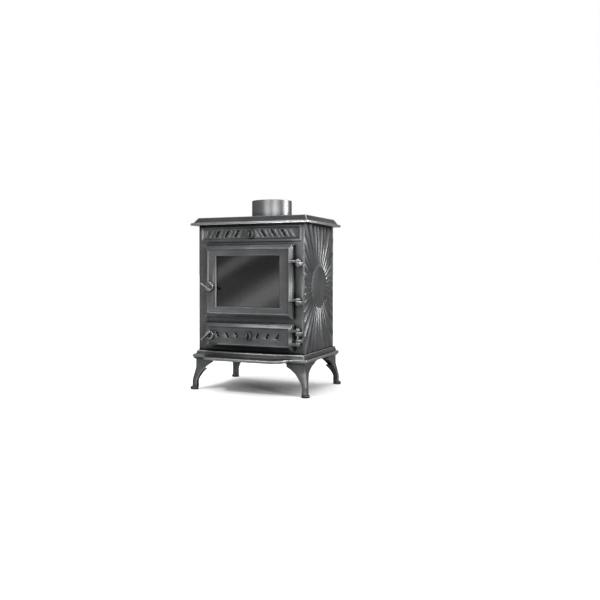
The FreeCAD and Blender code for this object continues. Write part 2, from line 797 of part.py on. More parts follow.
def make_base_plate():
    lip = Part.Face(lip_outline(leg_height)).extrude(V(0, 0, lip_thickness))
    lip = rounded(lip, lip_corner_radius,
                  lambda edge: edge.BoundBox.ZLength > lip_thickness - tiny
                  and abs(edge.BoundBox.XMin) > lip_half_width - tiny)
    low_rim = lip_edges(lip, leg_height)
    lip = lip.makeFillet(lip_under_radius, low_rim)
    lip = lip.makeFillet(lip_top_radius, lip_edges(lip, lip_top))
    step_foot = lip_top - lip_thickness / 2
    wall_top = lip_top + step_foot_wall
    top_half = half_width + step_top_margin
    step = Part.Face(step_outline(step_foot)).extrude(V(0, 0, base_top - step_foot))
    end_cut = prism([V(step_half_width, -overrun, wall_top), V(top_half, -overrun, base_top),
                     V(top_half, -overrun, base_top + overrun),
                     V(step_half_width + overrun, -overrun, base_top + overrun),
                     V(step_half_width + overrun, -overrun, wall_top)], V(0, lip_back + 2 * overrun, 0))
    step = step.cut([end_cut, mirrored(end_cut)])
    step = rounded(step, step_corner_radius,
                   lambda edge: edge.BoundBox.ZLength > step_foot_wall and edge.BoundBox.YMax < 0)
    step = step.makeFillet(step_top_radius, lip_edges(step, base_top))
    junction = step.slice(V(0, 0, 1), lip_top)[0]
    plate = joined(lip, [step])
    cove = [edge for edge in plate.Edges
            if lies_on(edge, junction) and middle_of(edge).y < lip_back - lip_top_radius]
    plate = plate.makeFillet(step_cove_radius, cove)
    pocket_half = half_width - pocket_margin
    pocket = block(-pocket_half, pocket_half, pocket_margin, casing_depth - pocket_margin,
                   leg_height - overrun, base_top - floor_thickness)
    plate = plate.cut(pocket)
    runners = []
    runner_top = ash_opening_low + runner_sill
    for x in (-runner_centre, runner_centre):
        runners.append(block(x - runner_width / 2, x + runner_width / 2, front_thickness + runner_front_gap,
                             pan_back - runner_back_inset, base_top, runner_top))
    plate = joined(plate, runners)
    for x in (-rod_x, rod_x):
        for y in (rod_front, rod_back):
            plate = plate.cut(rod_along_z(x, y, rod_radius + bolt_gap, 0, base_top + overrun))
    return plate


def lip_edges(shape, z):
    """All edges of a slab that lie in the level plane z, apart from those at the straight back."""
    return [edge for edge in shape.Edges
            if abs(edge.BoundBox.ZMin - z) < tiny and abs(edge.BoundBox.ZMax - z) < tiny
            and edge.BoundBox.YMin < lip_back - tiny]


# Legs

def leg_silhouette(reach, tip_height, swapped):
    """The leg's outline in one upright plane: outward (0 at the upper outer face) and up."""
    def at(outward, height):
        return V(0, outward, height) if swapped else V(outward, 0, height)
    top = leg_height - leg_flange_thickness
    edges = [
        Part.LineSegment(at(-reach, top), at(0, top)).toShape(),
        Part.LineSegment(at(0, top), at(0, knee_height)).toShape(),
        Part.Arc(at(0, knee_height), at(calf_out, calf_height), at(ankle_out, ankle_height)).toShape(),
        Part.LineSegment(at(ankle_out, ankle_height), at(ankle_out, foot_height / 2)).toShape(),
        Part.LineSegment(at(ankle_out, foot_height / 2), at(-ankle_inner, foot_height / 2)).toShape(),
        Part.LineSegment(at(-ankle_inner, foot_height / 2), at(-ankle_inner, ankle_height)).toShape(),
        Part.Arc(at(-ankle_inner, ankle_height), at(-wing_bend_inner, wing_bend_height),
                 at(-reach, tip_height)).toShape(),
        Part.LineSegment(at(-reach, tip_height), at(-reach, top)).toShape(),
    ]
    room = max(front_wing_reach, side_wing_reach)
    depth = room + ankle_out
    start = V(-room, 0, 0) if swapped else V(0, -room, 0)
    along = V(depth, 0, 0) if swapped else V(0, depth, 0)
    face = Part.Face(Part.Wire(edges))
    face.translate(start)
    return face.extrude(along)


def flange_outline(margin, z):
    """The leg's top flange from above: a narrow strip over each wing."""
    inner = leg_flange_margin - leg_flange_width
    front_end = -front_wing_reach - margin
    side_end = -side_wing_reach - margin
    points = [V(front_end, inner, z), V(front_end, margin, z), V(margin, margin, z),
              V(margin, side_end, z), V(inner, side_end, z), V(inner, inner, z)]
    return Part.makePolygon(points + points[:1])


def make_leg():
    """A corner leg with two wings, drawn with x and y as the two outward directions."""
    front_view = leg_silhouette(front_wing_reach, front_tip_height, False)
    body = front_view.common(leg_silhouette(side_wing_reach, side_tip_height, True))
    hollow = body.copy()
    hollow.translate(V(-leg_wall, -leg_wall, 0))
    room = side_wing_reach + front_wing_reach
    hollow = hollow.common(block(-room, room, -room, room, leg_hollow_height, leg_height))
    body = rounded(body, leg_ridge_radius, on_outer_ridge)
    body = body.cut(hollow)
    low = leg_height - leg_flange_thickness
    slope_top = leg_height - leg_flange_edge
    edge = Part.Face(flange_outline(leg_flange_margin, slope_top)).extrude(V(0, 0, leg_flange_edge))
    slope = Part.makeLoft([flange_outline(leg_flange_foot_margin, low),
                           flange_outline(leg_flange_margin, slope_top)], True, True)
    pad = block(-leg_pad_size, 0, -leg_pad_size, 0, low, leg_height)
    foot = Part.makeCylinder(foot_radius, foot_height, V(foot_out, foot_out, 0))
    foot = rounded(foot, foot_shoulder_radius, lambda rim: rim.BoundBox.ZMin > foot_height - tiny)
    foot = rounded(foot, foot_edge_radius, lambda rim: rim.BoundBox.ZMax < tiny)
    return joined(body, [edge, slope, pad, foot])


def on_outer_ridge(edge):
    point = middle_of(edge)
    return abs(point.x - point.y) < tiny and point.x > -tiny and edge.BoundBox.ZLength > tiny


def placed_leg(side, front):
    leg = make_leg()
    if side < 0:
        leg = mirrored(leg)
    if front:
        leg = leg.mirror(V(0, 0, 0), V(0, 1, 0))
    leg.translate(V(side * leg_face, leg_front_face if front else leg_back_face, 0))
    hole = rod_along_z(side * rod_x, rod_front if front else rod_back, rod_radius + bolt_gap,
                       leg_height - leg_flange_thickness - overrun, leg_height + overrun)
    return leg.cut(hole)


# Tie rods

def make_tie_rods():
    rods = []
    low = leg_height - leg_flange_thickness - rod_nut_height - rod_end
    for x in (-rod_x, rod_x):
        for y in (rod_front, rod_back):
            rods.append(rod_along_z(x, y, rod_radius, low, casing_top + rod_depth_in_top))
    return Part.makeCompound(rods)


def make_tie_rod_nuts():
    nuts = []
    high = leg_height - leg_flange_thickness
    for x in (-rod_x, rod_x):
        for y in (rod_front, rod_back):
            nut = hexagon_prism(x, y, high - rod_nut_height, high, rod_nut_across)
            nuts.append(nut.cut(rod_along_z(x, y, rod_radius + running_gap, 0, high + overrun)))
    return Part.makeCompound(nuts)


# Doors

def moulding_profile(z):
    """Section of the door's moulded rim, rim edge downwards: level is depth, upright is inset."""
    def at(inset, before):
        return V(0, -before, z + inset)
    flange = door_edge + door_gap
    rising = at(crest_inset - crest_width / 2, mould_top - crest_drop)
    falling = at(crest_inset + crest_width / 2, mould_top - crest_drop)
    return Part.Wire([
        Part.LineSegment(at(0, door_gap), at(0, flange)).toShape(),
        Part.LineSegment(at(0, flange), at(door_flange, flange)).toShape(),
        Part.LineSegment(at(door_flange, flange), at(door_flange, mould_shoulder)).toShape(),
        Part.LineSegment(at(door_flange, mould_shoulder), rising).toShape(),
        Part.Arc(rising, at(crest_inset, mould_top), falling).toShape(),
        Part.LineSegment(falling, at(mould_width, panel_face)).toShape(),
        Part.LineSegment(at(mould_width, panel_face), at(mould_width, door_gap)).toShape(),
        Part.LineSegment(at(mould_width, door_gap), at(0, door_gap)).toShape(),
    ])


def moulding_side(half_length):
    """One straight side of the rim, mitred at both ends, its outer edge at z = 0."""
    bar = Part.Face(moulding_profile(0)).extrude(V(2 * half_length, 0, 0))
    bar.translate(V(-half_length, 0, 0))
    inner = half_length - mould_width
    front = -mould_top - overrun
    mitre = prism([V(-half_length, front, 0), V(half_length, front, 0),
                   V(inner, front, mould_width), V(-inner, front, mould_width)], V(0, -front, 0))
    return bar.common(mitre)


def door_rim(low, high):
    half_height = (high - low) / 2
    middle = (low + high) / 2
    sides = []
    halves = [(door_half_width, half_height), (half_height, door_half_width)] * 2
    for index, (half_length, distance) in enumerate(halves):
        side = moulding_side(half_length)
        side.translate(V(0, 0, -distance))
        side.rotate(V(0, 0, 0), V(0, 1, 0), 90 * index)
        side.translate(V(0, 0, middle))
        sides.append(side)
    return joined(sides[0], sides[1:])


def hinge_arm(z0, thickness):
    """A strap from the door's moulding to its eye on the pin."""
    eye = rod_along_z(hinge_x, -hinge_out, eye_radius, z0, z0 + thickness)
    tip = door_half_width - arm_tip
    root = door_half_width - 2 * door_flange
    strap = prism([V(hinge_x, -hinge_out - eye_radius, z0),
                   V(door_half_width, -hinge_out - eye_radius * strap_rise_share, z0),
                   V(tip, -mould_top, z0), V(tip, -mould_shoulder, z0),
                   V(root, -door_gap - door_edge, z0),
                   V(hinge_x, -hinge_out + eye_radius, z0)], V(0, 0, thickness))
    return eye.fuse(strap)


def rope_ring(low, high, grow):
    """The seal's solid, or the groove for it when it is grown by a gap."""
    half = rope_width / 2 + grow
    centre = door_overlap / 2
    outer = centre - half
    inner = centre + half
    deep = -(door_gap + rope_depth + grow)
    shallow = overrun if grow else -rest_gap
    ring = block(-door_half_width + outer, door_half_width - outer, deep, shallow,
                 low + outer, high - outer)
    radius = rope_corner_radius
    ring = rounded(ring, radius, lambda edge: edge.BoundBox.YLength > rope_depth)
    hole = block(-door_half_width + inner, door_half_width - inner, deep - overrun, shallow + overrun,
                 low + inner, high - inner)
    hole = rounded(hole, radius - 2 * half, lambda edge: edge.BoundBox.YLength > rope_depth)
    return ring.cut(hole)


def make_rope(low, high):
    return rope_ring(low, high, 0)


def blank_door(low, high, latch_z, arms, arm_height):
    """Rim, flat panel, hinge arms and the seat and guide of the latch spindle."""
    panel = block(-door_inner_half, door_inner_half, -panel_face, panel_back,
                  low + mould_width, high - mould_width)
    pieces = [panel]
    for z0 in arms:
        pieces.append(hinge_arm(z0, arm_height))
    pieces.append(rod_along_y(latch_x, latch_z, handle_seat_radius, -mould_top, panel_back))
    door = joined(door_rim(low, high), pieces)
    door = door.cut(rope_ring(low, high, rest_gap))
    guide = rod_along_y(latch_x, latch_z, guide_radius, -panel_face, front_thickness + rest_gap)
    door = joined(door, [guide])
    bore = rod_along_y(latch_x, latch_z, spindle_radius + running_gap, -overrun - mould_top, overrun)
    door = door.cut(bore)
    eye = rod_along_z(hinge_x, -hinge_out, pin_radius + running_gap, low - overrun, high + overrun)
    return door.cut(eye)


def clip_places():
    places = []
    margin = clip_boss_radius + rest_gap
    offset = window_half_width - clip_inset
    for x in (-offset, offset):
        places.append((x, window_low - glass_margin - margin, 1))
        places.append((x, window_high + glass_margin + margin, -1))
    return places


def make_fire_door():
    arms = [fire_upper_lug_low + fire_lug_height + rest_gap,
            fire_lower_lug_low + fire_lug_height + rest_gap]
    door = blank_door(fire_door_low, fire_door_high, fire_latch_z, arms, arm_thickness)
    bosses = []
    for x, z, towards in clip_places():
        bosses.append(rod_along_y(x, z, clip_boss_radius, -panel_face + window_bevel, glass_back))
    door = joined(door, bosses)
    window = block(-window_half_width, window_half_width, -overrun - panel_face, overrun,
                   window_low, window_high)
    outer = 2 * window_bevel
    bevel = frustum(upright_rectangle(window_half_width, window_low, window_high,
                                      -panel_face + window_bevel),
                    upright_rectangle(window_half_width + outer, window_low - outer,
                                      window_high + outer, -panel_face - window_bevel))
    door = door.cut([window, bevel])
    for x, z, towards in clip_places():
        depth = panel_back - rest_gap
        door = door.cut(rod_along_y(x, z, clip_screw_radius + running_gap, depth, glass_back + overrun))
    return door


def make_glass():
    half = window_half_width + glass_margin
    return block(-half, half, panel_back, glass_back, window_low - glass_margin, window_high + glass_margin)


def make_glass_clips():
    clips = []
    for x, z, towards in clip_places():
        far = z - towards * clip_boss_radius
        near = z + towards * (clip_boss_radius + rest_gap + clip_grip)
        low, high = min(far, near), max(far, near)
        clip = block(x - clip_width / 2, x + clip_width / 2, glass_back, glass_back + clip_thickness,
                     low, high)
        hole = rod_along_y(x, z, clip_screw_radius + running_gap, glass_back - overrun,
                           glass_back + overrun)
        clips.append(clip.cut(hole))
    return Part.makeCompound(clips)


def make_clip_screws():
    screws = []
    seat = glass_back + clip_thickness
    for x, z, towards in clip_places():
        head = rod_along_y(x, z, clip_head_radius, seat, seat + clip_head_height)
        shank = rod_along_y(x, z, clip_screw_radius, panel_back, seat)
        screws.append(joined(head, [shank]))
    return Part.makeCompound(screws)


def make_ash_door():
    arms = [ash_upper_lug_low + ash_lug_height + rest_gap,
            ash_lower_lug_low - rest_gap - ash_arm_thickness]
    door = blank_door(ash_door_low, ash_door_high, ash_latch_z, arms, ash_arm_thickness)
    low, high = ash_shutter_edges()
    guide_half = shutter_half_width(ash_slot_first, ash_slot_pitch) + ash_travel
    guides = []
    for z0 in (low - rest_gap - guide_height, high + rest_gap):
        guides.append(block(-guide_half, guide_half, panel_back, panel_back + guide_depth,
                            z0, z0 + guide_height))
    door = joined(door, guides)
    front = -panel_face - overrun
    cutters = []
    for x, slant in ash_slot_places():
        cutters.append(slanted_slot(x, ash_slot_centre_z, ash_slot_height, ash_slot_width, slant,
                                    front, overrun))
    cutters.append(stadium_along_y(0, ash_knob_z, ash_travel, ash_knob_z, stem_radius + rest_gap,
                                   front, overrun))
    return door.cut(cutters)


# Hinge pins

def hinge_pin(z0, z1):
    head = rod_along_z(hinge_x, -hinge_out, pin_head_radius, z1, z1 + pin_head_height)
    head = rounded(head, pin_head_height / 2,
                   lambda edge: edge.BoundBox.ZMin > z1 + pin_head_height - tiny)
    return joined(head, [rod_along_z(hinge_x, -hinge_out, pin_radius, z0, z1)])


def make_fire_pins():
    pins = []
    for z0 in (fire_upper_lug_low, fire_lower_lug_low):
        pins.append(hinge_pin(z0 - pin_tail, z0 + fire_lug_height + 2 * rest_gap + arm_thickness))
    return Part.makeCompound(pins)


def make_ash_pin():
    low = ash_lower_lug_low - rest_gap - ash_arm_thickness - pin_tail
    return hinge_pin(low, ash_upper_lug_low + ash_lug_height + 2 * rest_gap + ash_arm_thickness)


# Handles and latches

def make_wing(back):
    """The handle's flat bar: narrow at its root at y = back, widening like a fan to its front edge."""
    front = back - wing_reach
    root = V(wing_root_width / 2, back, -wing_thickness / 2)
    end_back = V(wing_length / 2, front + wing_end_height, -wing_thickness / 2)
    end_front = V(wing_length / 2, front, -wing_thickness / 2)
    bend = V(root.x + (end_back.x - root.x) * wing_bend_out_share,
             root.y + (end_back.y - root.y) * wing_bend_reach_share, root.z)
    half = [
        Part.Arc(root, bend, end_back).toShape(),
        Part.LineSegment(end_back, end_front).toShape(),
    ]
    edges = half + [mirrored(edge) for edge in half]
    edges.append(Part.LineSegment(root, V(-root.x, root.y, root.z)).toShape())
    edges.append(Part.LineSegment(end_front, V(-end_front.x, end_front.y, end_front.z)).toShape())
    wing = Part.Face(Part.Wire(Part.__sortEdges__(edges))).extrude(V(0, 0, wing_thickness))
    wing = rounded(wing, wing_corner_radius,
                   lambda edge: edge.BoundBox.ZLength > wing_thickness / 2
                   and edge.BoundBox.YMax < back - tiny)
    return rounded(wing, wing_round,
                   lambda edge: edge.BoundBox.ZLength < tiny and middle_of(edge).y < back - tiny)


def make_handle(z, tilt):
    """A wing handle and its spindle: base disc, tapered neck and the wing across it."""
    seat = -mould_top - rest_gap
    base_front = seat - handle_base_thickness
    base = rod_along_y(latch_x, z, handle_base_radius, base_front, seat)
    base = rounded(base, handle_base_thickness / 2, lambda edge: edge.BoundBox.YMax < seat - tiny)
    neck = Part.makeCone(handle_neck_radius, handle_throat_radius, handle_neck_length,
                         V(latch_x, base_front, z), V(0, -1, 0))
    wing = make_wing(base_front)
    wing.rotate(V(0, 0, 0), V(0, 1, 0), -tilt)
    wing.translate(V(latch_x, 0, z))
    spindle_end = front_thickness + 2 * rest_gap + cam_thickness + latch_nut_height + rest_gap
    spindle = rod_along_y(latch_x, z, spindle_radius, seat - handle_base_thickness / 2, spindle_end)
    return joined(base, [neck, wing, spindle])


def make_cam(z):
    """The latch cam hangs free as drawn; a quarter turn brings it behind the front plate."""
    front = front_thickness + 2 * rest_gap
    back = front + cam_thickness
    hub = rod_along_y(latch_x, z, cam_hub_radius, front, back)
    tip_z = z - cam_reach + cam_tip_radius
    tip = rod_along_y(latch_x, tip_z, cam_tip_radius, front, back)
    web = prism([V(latch_x - cam_hub_radius, front, z), V(latch_x - cam_tip_radius, front, tip_z),
                 V(latch_x + cam_tip_radius, front, tip_z), V(latch_x + cam_hub_radius, front, z)],
                V(0, cam_thickness, 0))
    cam = joined(hub, [tip, web])
    return cam.cut(rod_along_y(latch_x, z, spindle_radius + running_gap, front - overrun, back + overrun))


def make_latch_nut(z):
    back = front_thickness + 2 * rest_gap + cam_thickness
    nut = hexagon_prism(0, 0, 0, latch_nut_height, latch_nut_across)
    nut.rotate(V(0, 0, 0), V(1, 0, 0), -90)
    nut.translate(V(latch_x, back, z))
    return nut.cut(rod_along_y(latch_x, z, spindle_radius + running_gap, back - overrun, back + overrun))


# Air shutters

def shutter_half_width(first, pitch):
    return first + (slot_count - 1) * pitch + shutter_end_margin


def slotted_shutter(half, travel, shift, front, edges, slots, knob_z):
    """A shutter as it stands, shifted from fully open; its left end is longer by its travel."""
    low, high = edges
    plate = block(shift - half - travel, shift + half, front, front + shutter_thickness, low, high)
    hole = rod_along_y(shift, knob_z, stem_radius + running_gap, front - overrun, front + overrun)
    return plate.cut(slots + [hole])


def make_vent_shutter():
    half = shutter_half_width(vent_slot_first, vent_slot_pitch)
    front = front_thickness + rest_gap
    slots = [slanted_slot(x + vent_shutter_shift, vent_slot_centre_z, vent_slot_height, vent_slot_width,
                          slant, front - overrun, front + overrun) for x, slant in vent_places()]
    return slotted_shutter(half, vent_travel, vent_shutter_shift, front, vent_shutter_edges(), slots,
                           vent_knob_z)


def make_ash_shutter():
    half = shutter_half_width(ash_slot_first, ash_slot_pitch)
    front = panel_back + rest_gap
    slots = [slanted_slot(x + ash_shutter_shift, ash_slot_centre_z, ash_slot_height, ash_slot_width,
                          slant, front - overrun, front + overrun) for x, slant in ash_slot_places()]
    return slotted_shutter(half, ash_travel, ash_shutter_shift, front, ash_shutter_edges(), slots,
                           ash_knob_z)


def make_knob(x, z, seat, stem_end):
    """A round knob with an upright fin; its stem reaches through to the shutter."""
    face = seat - rest_gap - knob_thickness
    disc = rod_along_y(x, z, knob_radius, face, seat - rest_gap)
    disc = rounded(disc, knob_edge, lambda edge: edge.BoundBox.YMax < face + tiny)
    fin = Part.makeCylinder(fin_radius, fin_thickness, V(x - fin_thickness / 2, face, z), V(1, 0, 0))
    front_half = block(x - fin_thickness, x + fin_thickness, face - fin_radius - overrun,
                       face + knob_thickness / 2, z - fin_radius, z + fin_radius)
    fin = fin.common(front_half)
    stem = rod_along_y(x, z, stem_radius, face + knob_thickness / 2, stem_end)
    return joined(disc, [fin, stem])


# Firebox

def make_firebox_floor():
    half = side_inner - rest_gap
    plate = block(-half, half, front_thickness + rest_gap, back_inner - rest_gap,
                  floor_low, firebox_floor_top)
    cutters = []
    for x in (-half, half):
        for y in (front_thickness, back_inner):
            cutters.append(block(x - floor_notch, x + floor_notch, y - floor_notch, y + floor_notch,
                                 floor_low - overrun, firebox_floor_top + overrun))
    rebate_low = firebox_floor_top - grate_rebate
    cutters.append(block(-grate_half_width - rest_gap, grate_half_width + rest_gap, grate_front - rest_gap,
                         grate_back + rest_gap, rebate_low, firebox_floor_top + overrun))
    inner = grate_half_width - grate_seat
    cutters.append(block(-inner, inner, grate_front + grate_seat, grate_back - grate_seat,
                         floor_low - overrun, firebox_floor_top))
    return plate.cut(cutters)


def make_grate():
    low = firebox_floor_top - grate_rebate
    plate = block(-grate_half_width, grate_half_width, grate_front, grate_back, low, low + grate_thickness)
    cutters = []
    last = grate_half_width - grate_slot_end_margin
    for index in range(grate_slot_count):
        x = -last + 2 * last * index / (grate_slot_count - 1)
        cutters.append(block(x - grate_slot_width / 2, x + grate_slot_width / 2,
                             grate_front + grate_slot_margin, grate_back - grate_slot_margin,
                             low - overrun, low + grate_thickness + overrun))
    return plate.cut(cutters)


def make_rear_brick():
    half = side_inner - brick_thickness - brick_gap
    return block(-half, half, back_inner - brick_thickness, back_inner, firebox_floor_top, rear_brick_top)


def make_right_brick():
    back = back_inner - brick_thickness - brick_gap
    return block(side_inner - brick_thickness, side_inner, front_thickness + side_brick_front_gap, back,
                 firebox_floor_top, side_brick_top)


def make_log_guard():
    half = side_inner - brick_thickness - 2 * brick_gap
    top = firebox_floor_top + guard_height
    front = front_thickness + guard_front_gap
    back = front + guard_thickness
    rail = block(-half, half, front, back, firebox_floor_top + guard_gap, top)
    feet = []
    for index in range(guard_foot_count):
        centre = -half + guard_foot / 2 + (2 * half - guard_foot) * index / (guard_foot_count - 1)
        feet.append(block(centre - guard_foot / 2, centre + guard_foot / 2, front, back,
                          firebox_floor_top, firebox_floor_top + guard_gap))
    guard = joined(rail, feet)
    return rounded(guard, guard_thickness / 3,
                   lambda edge: edge.BoundBox.ZMin > top - tiny and edge.BoundBox.XLength > half)


def make_baffle():
    half = side_inner - brick_gap
    low = side_brick_top
    front = front_thickness + baffle_front_gap
    back = back_inner - brick_thickness - brick_gap
    plate = block(-half, half, front, back, low, low + baffle_thickness)
    lip = block(-half, half, front, front + baffle_thickness, low, low + baffle_thickness + baffle_lip)
    return joined(plate, [lip])


def make_deflector():
    """A bent sheet behind the vent that turns the air down over the glass."""
    half = side_inner - deflector_side_gap
    top = casing_top - rest_gap
    back = front_thickness + deflector_depth
    upright = block(-half, half, back, back + deflector_thickness, top - deflector_drop, top)
    shelf = block(-half, half, front_thickness, back, top - deflector_thickness, top)
    return joined(upright, [shelf])


def make_ash_pan():
    low = ash_opening_low + runner_sill
    high = ash_opening_high - pan_top_gap
    pan = block(-pan_half_width, pan_half_width, pan_front, pan_back, low, high)
    room = block(-pan_half_width + pan_wall, pan_half_width - pan_wall, pan_front + pan_wall,
                 pan_back - pan_wall, low + pan_wall, high + overrun)
    grip = block(-pan_grip_half, pan_grip_half, pan_front - pan_grip_reach, pan_front,
                 high - pan_grip_thickness, high)
    return joined(pan.cut(room), [grip])


# Writing the pieces

def all_parts():
    right_side = make_right_side()
    right_brick = make_right_brick()
    vent_stem_end = front_thickness + rest_gap + shutter_thickness
    ash_stem_end = panel_back + rest_gap + shutter_thickness
    return {
        "top_plate": make_top_plate(),
        "flue_collar": make_flue_collar(),
        "collar_ring": make_collar_ring(),
        "collar_bolts": make_collar_bolts(),
        "front_plate": make_front_plate(),
        "right_side_panel": right_side,
        "left_side_panel": mirrored(right_side),
        "back_plate": make_back_plate(),
        "base_plate": make_base_plate(),
        "leg_front_left": placed_leg(-1, True),
        "leg_front_right": placed_leg(1, True),
        "leg_rear_left": placed_leg(-1, False),
        "leg_rear_right": placed_leg(1, False),
        "tie_rods": make_tie_rods(),
        "tie_rod_nuts": make_tie_rod_nuts(),
        "fire_door": make_fire_door(),
        "door_glass": make_glass(),
        "glass_clips": make_glass_clips(),
        "glass_clip_screws": make_clip_screws(),
        "fire_door_rope": make_rope(fire_door_low, fire_door_high),
        "fire_door_hinge_pins": make_fire_pins(),
        "fire_door_handle": make_handle(fire_latch_z, fire_handle_tilt),
        "fire_latch_cam": make_cam(fire_latch_z),
        "fire_latch_nut": make_latch_nut(fire_latch_z),
        "ash_door": make_ash_door(),
        "ash_door_rope": make_rope(ash_door_low, ash_door_high),
        "ash_door_hinge_pin": make_ash_pin(),
        "ash_door_handle": make_handle(ash_latch_z, ash_handle_tilt),
        "ash_latch_cam": make_cam(ash_latch_z),
        "ash_latch_nut": make_latch_nut(ash_latch_z),
        "vent_shutter": make_vent_shutter(),
        "vent_knob": make_knob(vent_shutter_shift, vent_knob_z, vent_sink, vent_stem_end),
        "ash_shutter": make_ash_shutter(),
        "ash_air_knob": make_knob(ash_shutter_shift, ash_knob_z, -panel_face, ash_stem_end),
        "firebox_floor": make_firebox_floor(),
        "grate": make_grate(),
        "rear_fire_brick": make_rear_brick(),
        "right_fire_brick": right_brick,
        "left_fire_brick": mirrored(right_brick),
        "log_guard": make_log_guard(),
        "baffle_plate": make_baffle(),
        "air_deflector": make_deflector(),
        "ash_pan": make_ash_pan(),
    }


def write_parts():
    os.makedirs("parts", exist_ok=True)
    for name, shape in all_parts().items():
        shape.translate(V(0, -footprint_middle, 0))
        shape.exportStep("parts/" + name + ".step")
        print(name, "valid" if shape.isValid() else "NOT VALID", len(shape.Solids), round(shape.Volume))
    print("front plate's face at y =", -footprint_middle)


write_parts()
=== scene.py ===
# %% [markdown]
# # A cast iron stove, dressed for its picture
# The imported model already holds every casting at its real size, and says which body each one
# moves with. This script gives the castings their finish: soft edges, fine cast grain, wear with
# painted highlights on edges, soot with painted shade in corners, glass with a near-black tint
# that is painted shade, and laid rope seals. It loads the model first. Nothing made here may
# grow out of that box.

# %% Load the frame
import bpy
import bmesh
import json
import math
from mathutils import Matrix, Vector


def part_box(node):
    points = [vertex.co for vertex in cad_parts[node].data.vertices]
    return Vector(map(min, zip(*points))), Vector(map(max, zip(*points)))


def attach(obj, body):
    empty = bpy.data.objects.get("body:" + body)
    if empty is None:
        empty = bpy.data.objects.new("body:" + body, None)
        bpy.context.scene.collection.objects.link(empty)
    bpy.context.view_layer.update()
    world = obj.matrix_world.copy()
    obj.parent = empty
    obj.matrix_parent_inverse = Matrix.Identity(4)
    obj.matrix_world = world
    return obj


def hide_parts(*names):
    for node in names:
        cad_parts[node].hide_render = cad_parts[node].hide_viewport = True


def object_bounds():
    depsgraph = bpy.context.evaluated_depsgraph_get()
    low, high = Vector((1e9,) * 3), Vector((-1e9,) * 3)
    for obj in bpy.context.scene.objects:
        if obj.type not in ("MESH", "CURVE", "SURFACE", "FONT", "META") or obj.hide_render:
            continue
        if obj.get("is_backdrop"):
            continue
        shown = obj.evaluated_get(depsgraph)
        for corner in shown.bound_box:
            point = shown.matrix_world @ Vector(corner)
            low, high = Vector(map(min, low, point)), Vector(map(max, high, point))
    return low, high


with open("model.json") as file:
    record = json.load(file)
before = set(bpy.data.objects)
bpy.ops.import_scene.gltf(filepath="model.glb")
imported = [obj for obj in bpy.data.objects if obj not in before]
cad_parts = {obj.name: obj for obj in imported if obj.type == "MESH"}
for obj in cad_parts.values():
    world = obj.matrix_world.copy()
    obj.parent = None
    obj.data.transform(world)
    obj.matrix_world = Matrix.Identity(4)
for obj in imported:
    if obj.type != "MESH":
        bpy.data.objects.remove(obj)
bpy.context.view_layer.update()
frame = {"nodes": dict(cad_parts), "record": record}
NODES = frame["nodes"]
BODY_OF = {node: body for body, nodes in frame["record"]["behaviour"]["bodies"].items() for node in nodes}
SLOT_OF = {row["node"]: row["material_slot"] for row in frame["record"]["subparts"]}
MM = 0.001

# %% [markdown]
# The camera stands where the photographer's did. A camera fitted to the photograph gives the
# distance, a level view, 24.6 degrees to the right of the stove's front, and a small shift,
# because the stove isn't in the middle of the picture.

# %% Camera
VIEW_ANGLE = math.radians(24.6)
FOCAL_PX = 707.05
PICTURE_PX = 600
CENTRE_PX = (268.0, 268.98)
CAMERA_FROM_FRONT = Vector((1098.2, -2241.4, 436.4)) * MM      # from the front plate's face
FRONT_FACE_Y = -122.0 * MM
SENSOR = 36.0

camera_data = bpy.data.cameras.new("camera")
camera_data.sensor_width = SENSOR
camera_data.lens = FOCAL_PX * SENSOR / PICTURE_PX
camera_data.shift_x = (PICTURE_PX / 2 - CENTRE_PX[0]) / PICTURE_PX
camera_data.shift_y = (CENTRE_PX[1] - PICTURE_PX / 2) / PICTURE_PX
camera = bpy.data.objects.new("camera", camera_data)
bpy.context.scene.collection.objects.link(camera)
camera.location = CAMERA_FROM_FRONT + Vector((0, FRONT_FACE_Y, 0))
camera.rotation_euler = (math.radians(90), 0, VIEW_ANGLE)
bpy.context.scene.camera = camera
bpy.context.scene.view_settings.view_transform = "Standard"
print("camera at", [round(v, 3) for v in camera.location], "lens", round(camera_data.lens, 2))

# %% [markdown]
# A material here is a small tree of nodes. Building trees by hand takes many lines, so this
# class keeps each of them short: it makes a material with its shader, adds nodes, joins
# sockets, and has a short name for each step that comes back in several finishes.

# %% Node helpers
MIX_FACTOR, MIX_FIRST, MIX_SECOND, MIX_RESULT = 0, 6, 7, 2      # the Mix node's sockets for colours
RAMP_ENDS = (0.3, 0.7)                   # a noise seldom leaves this range


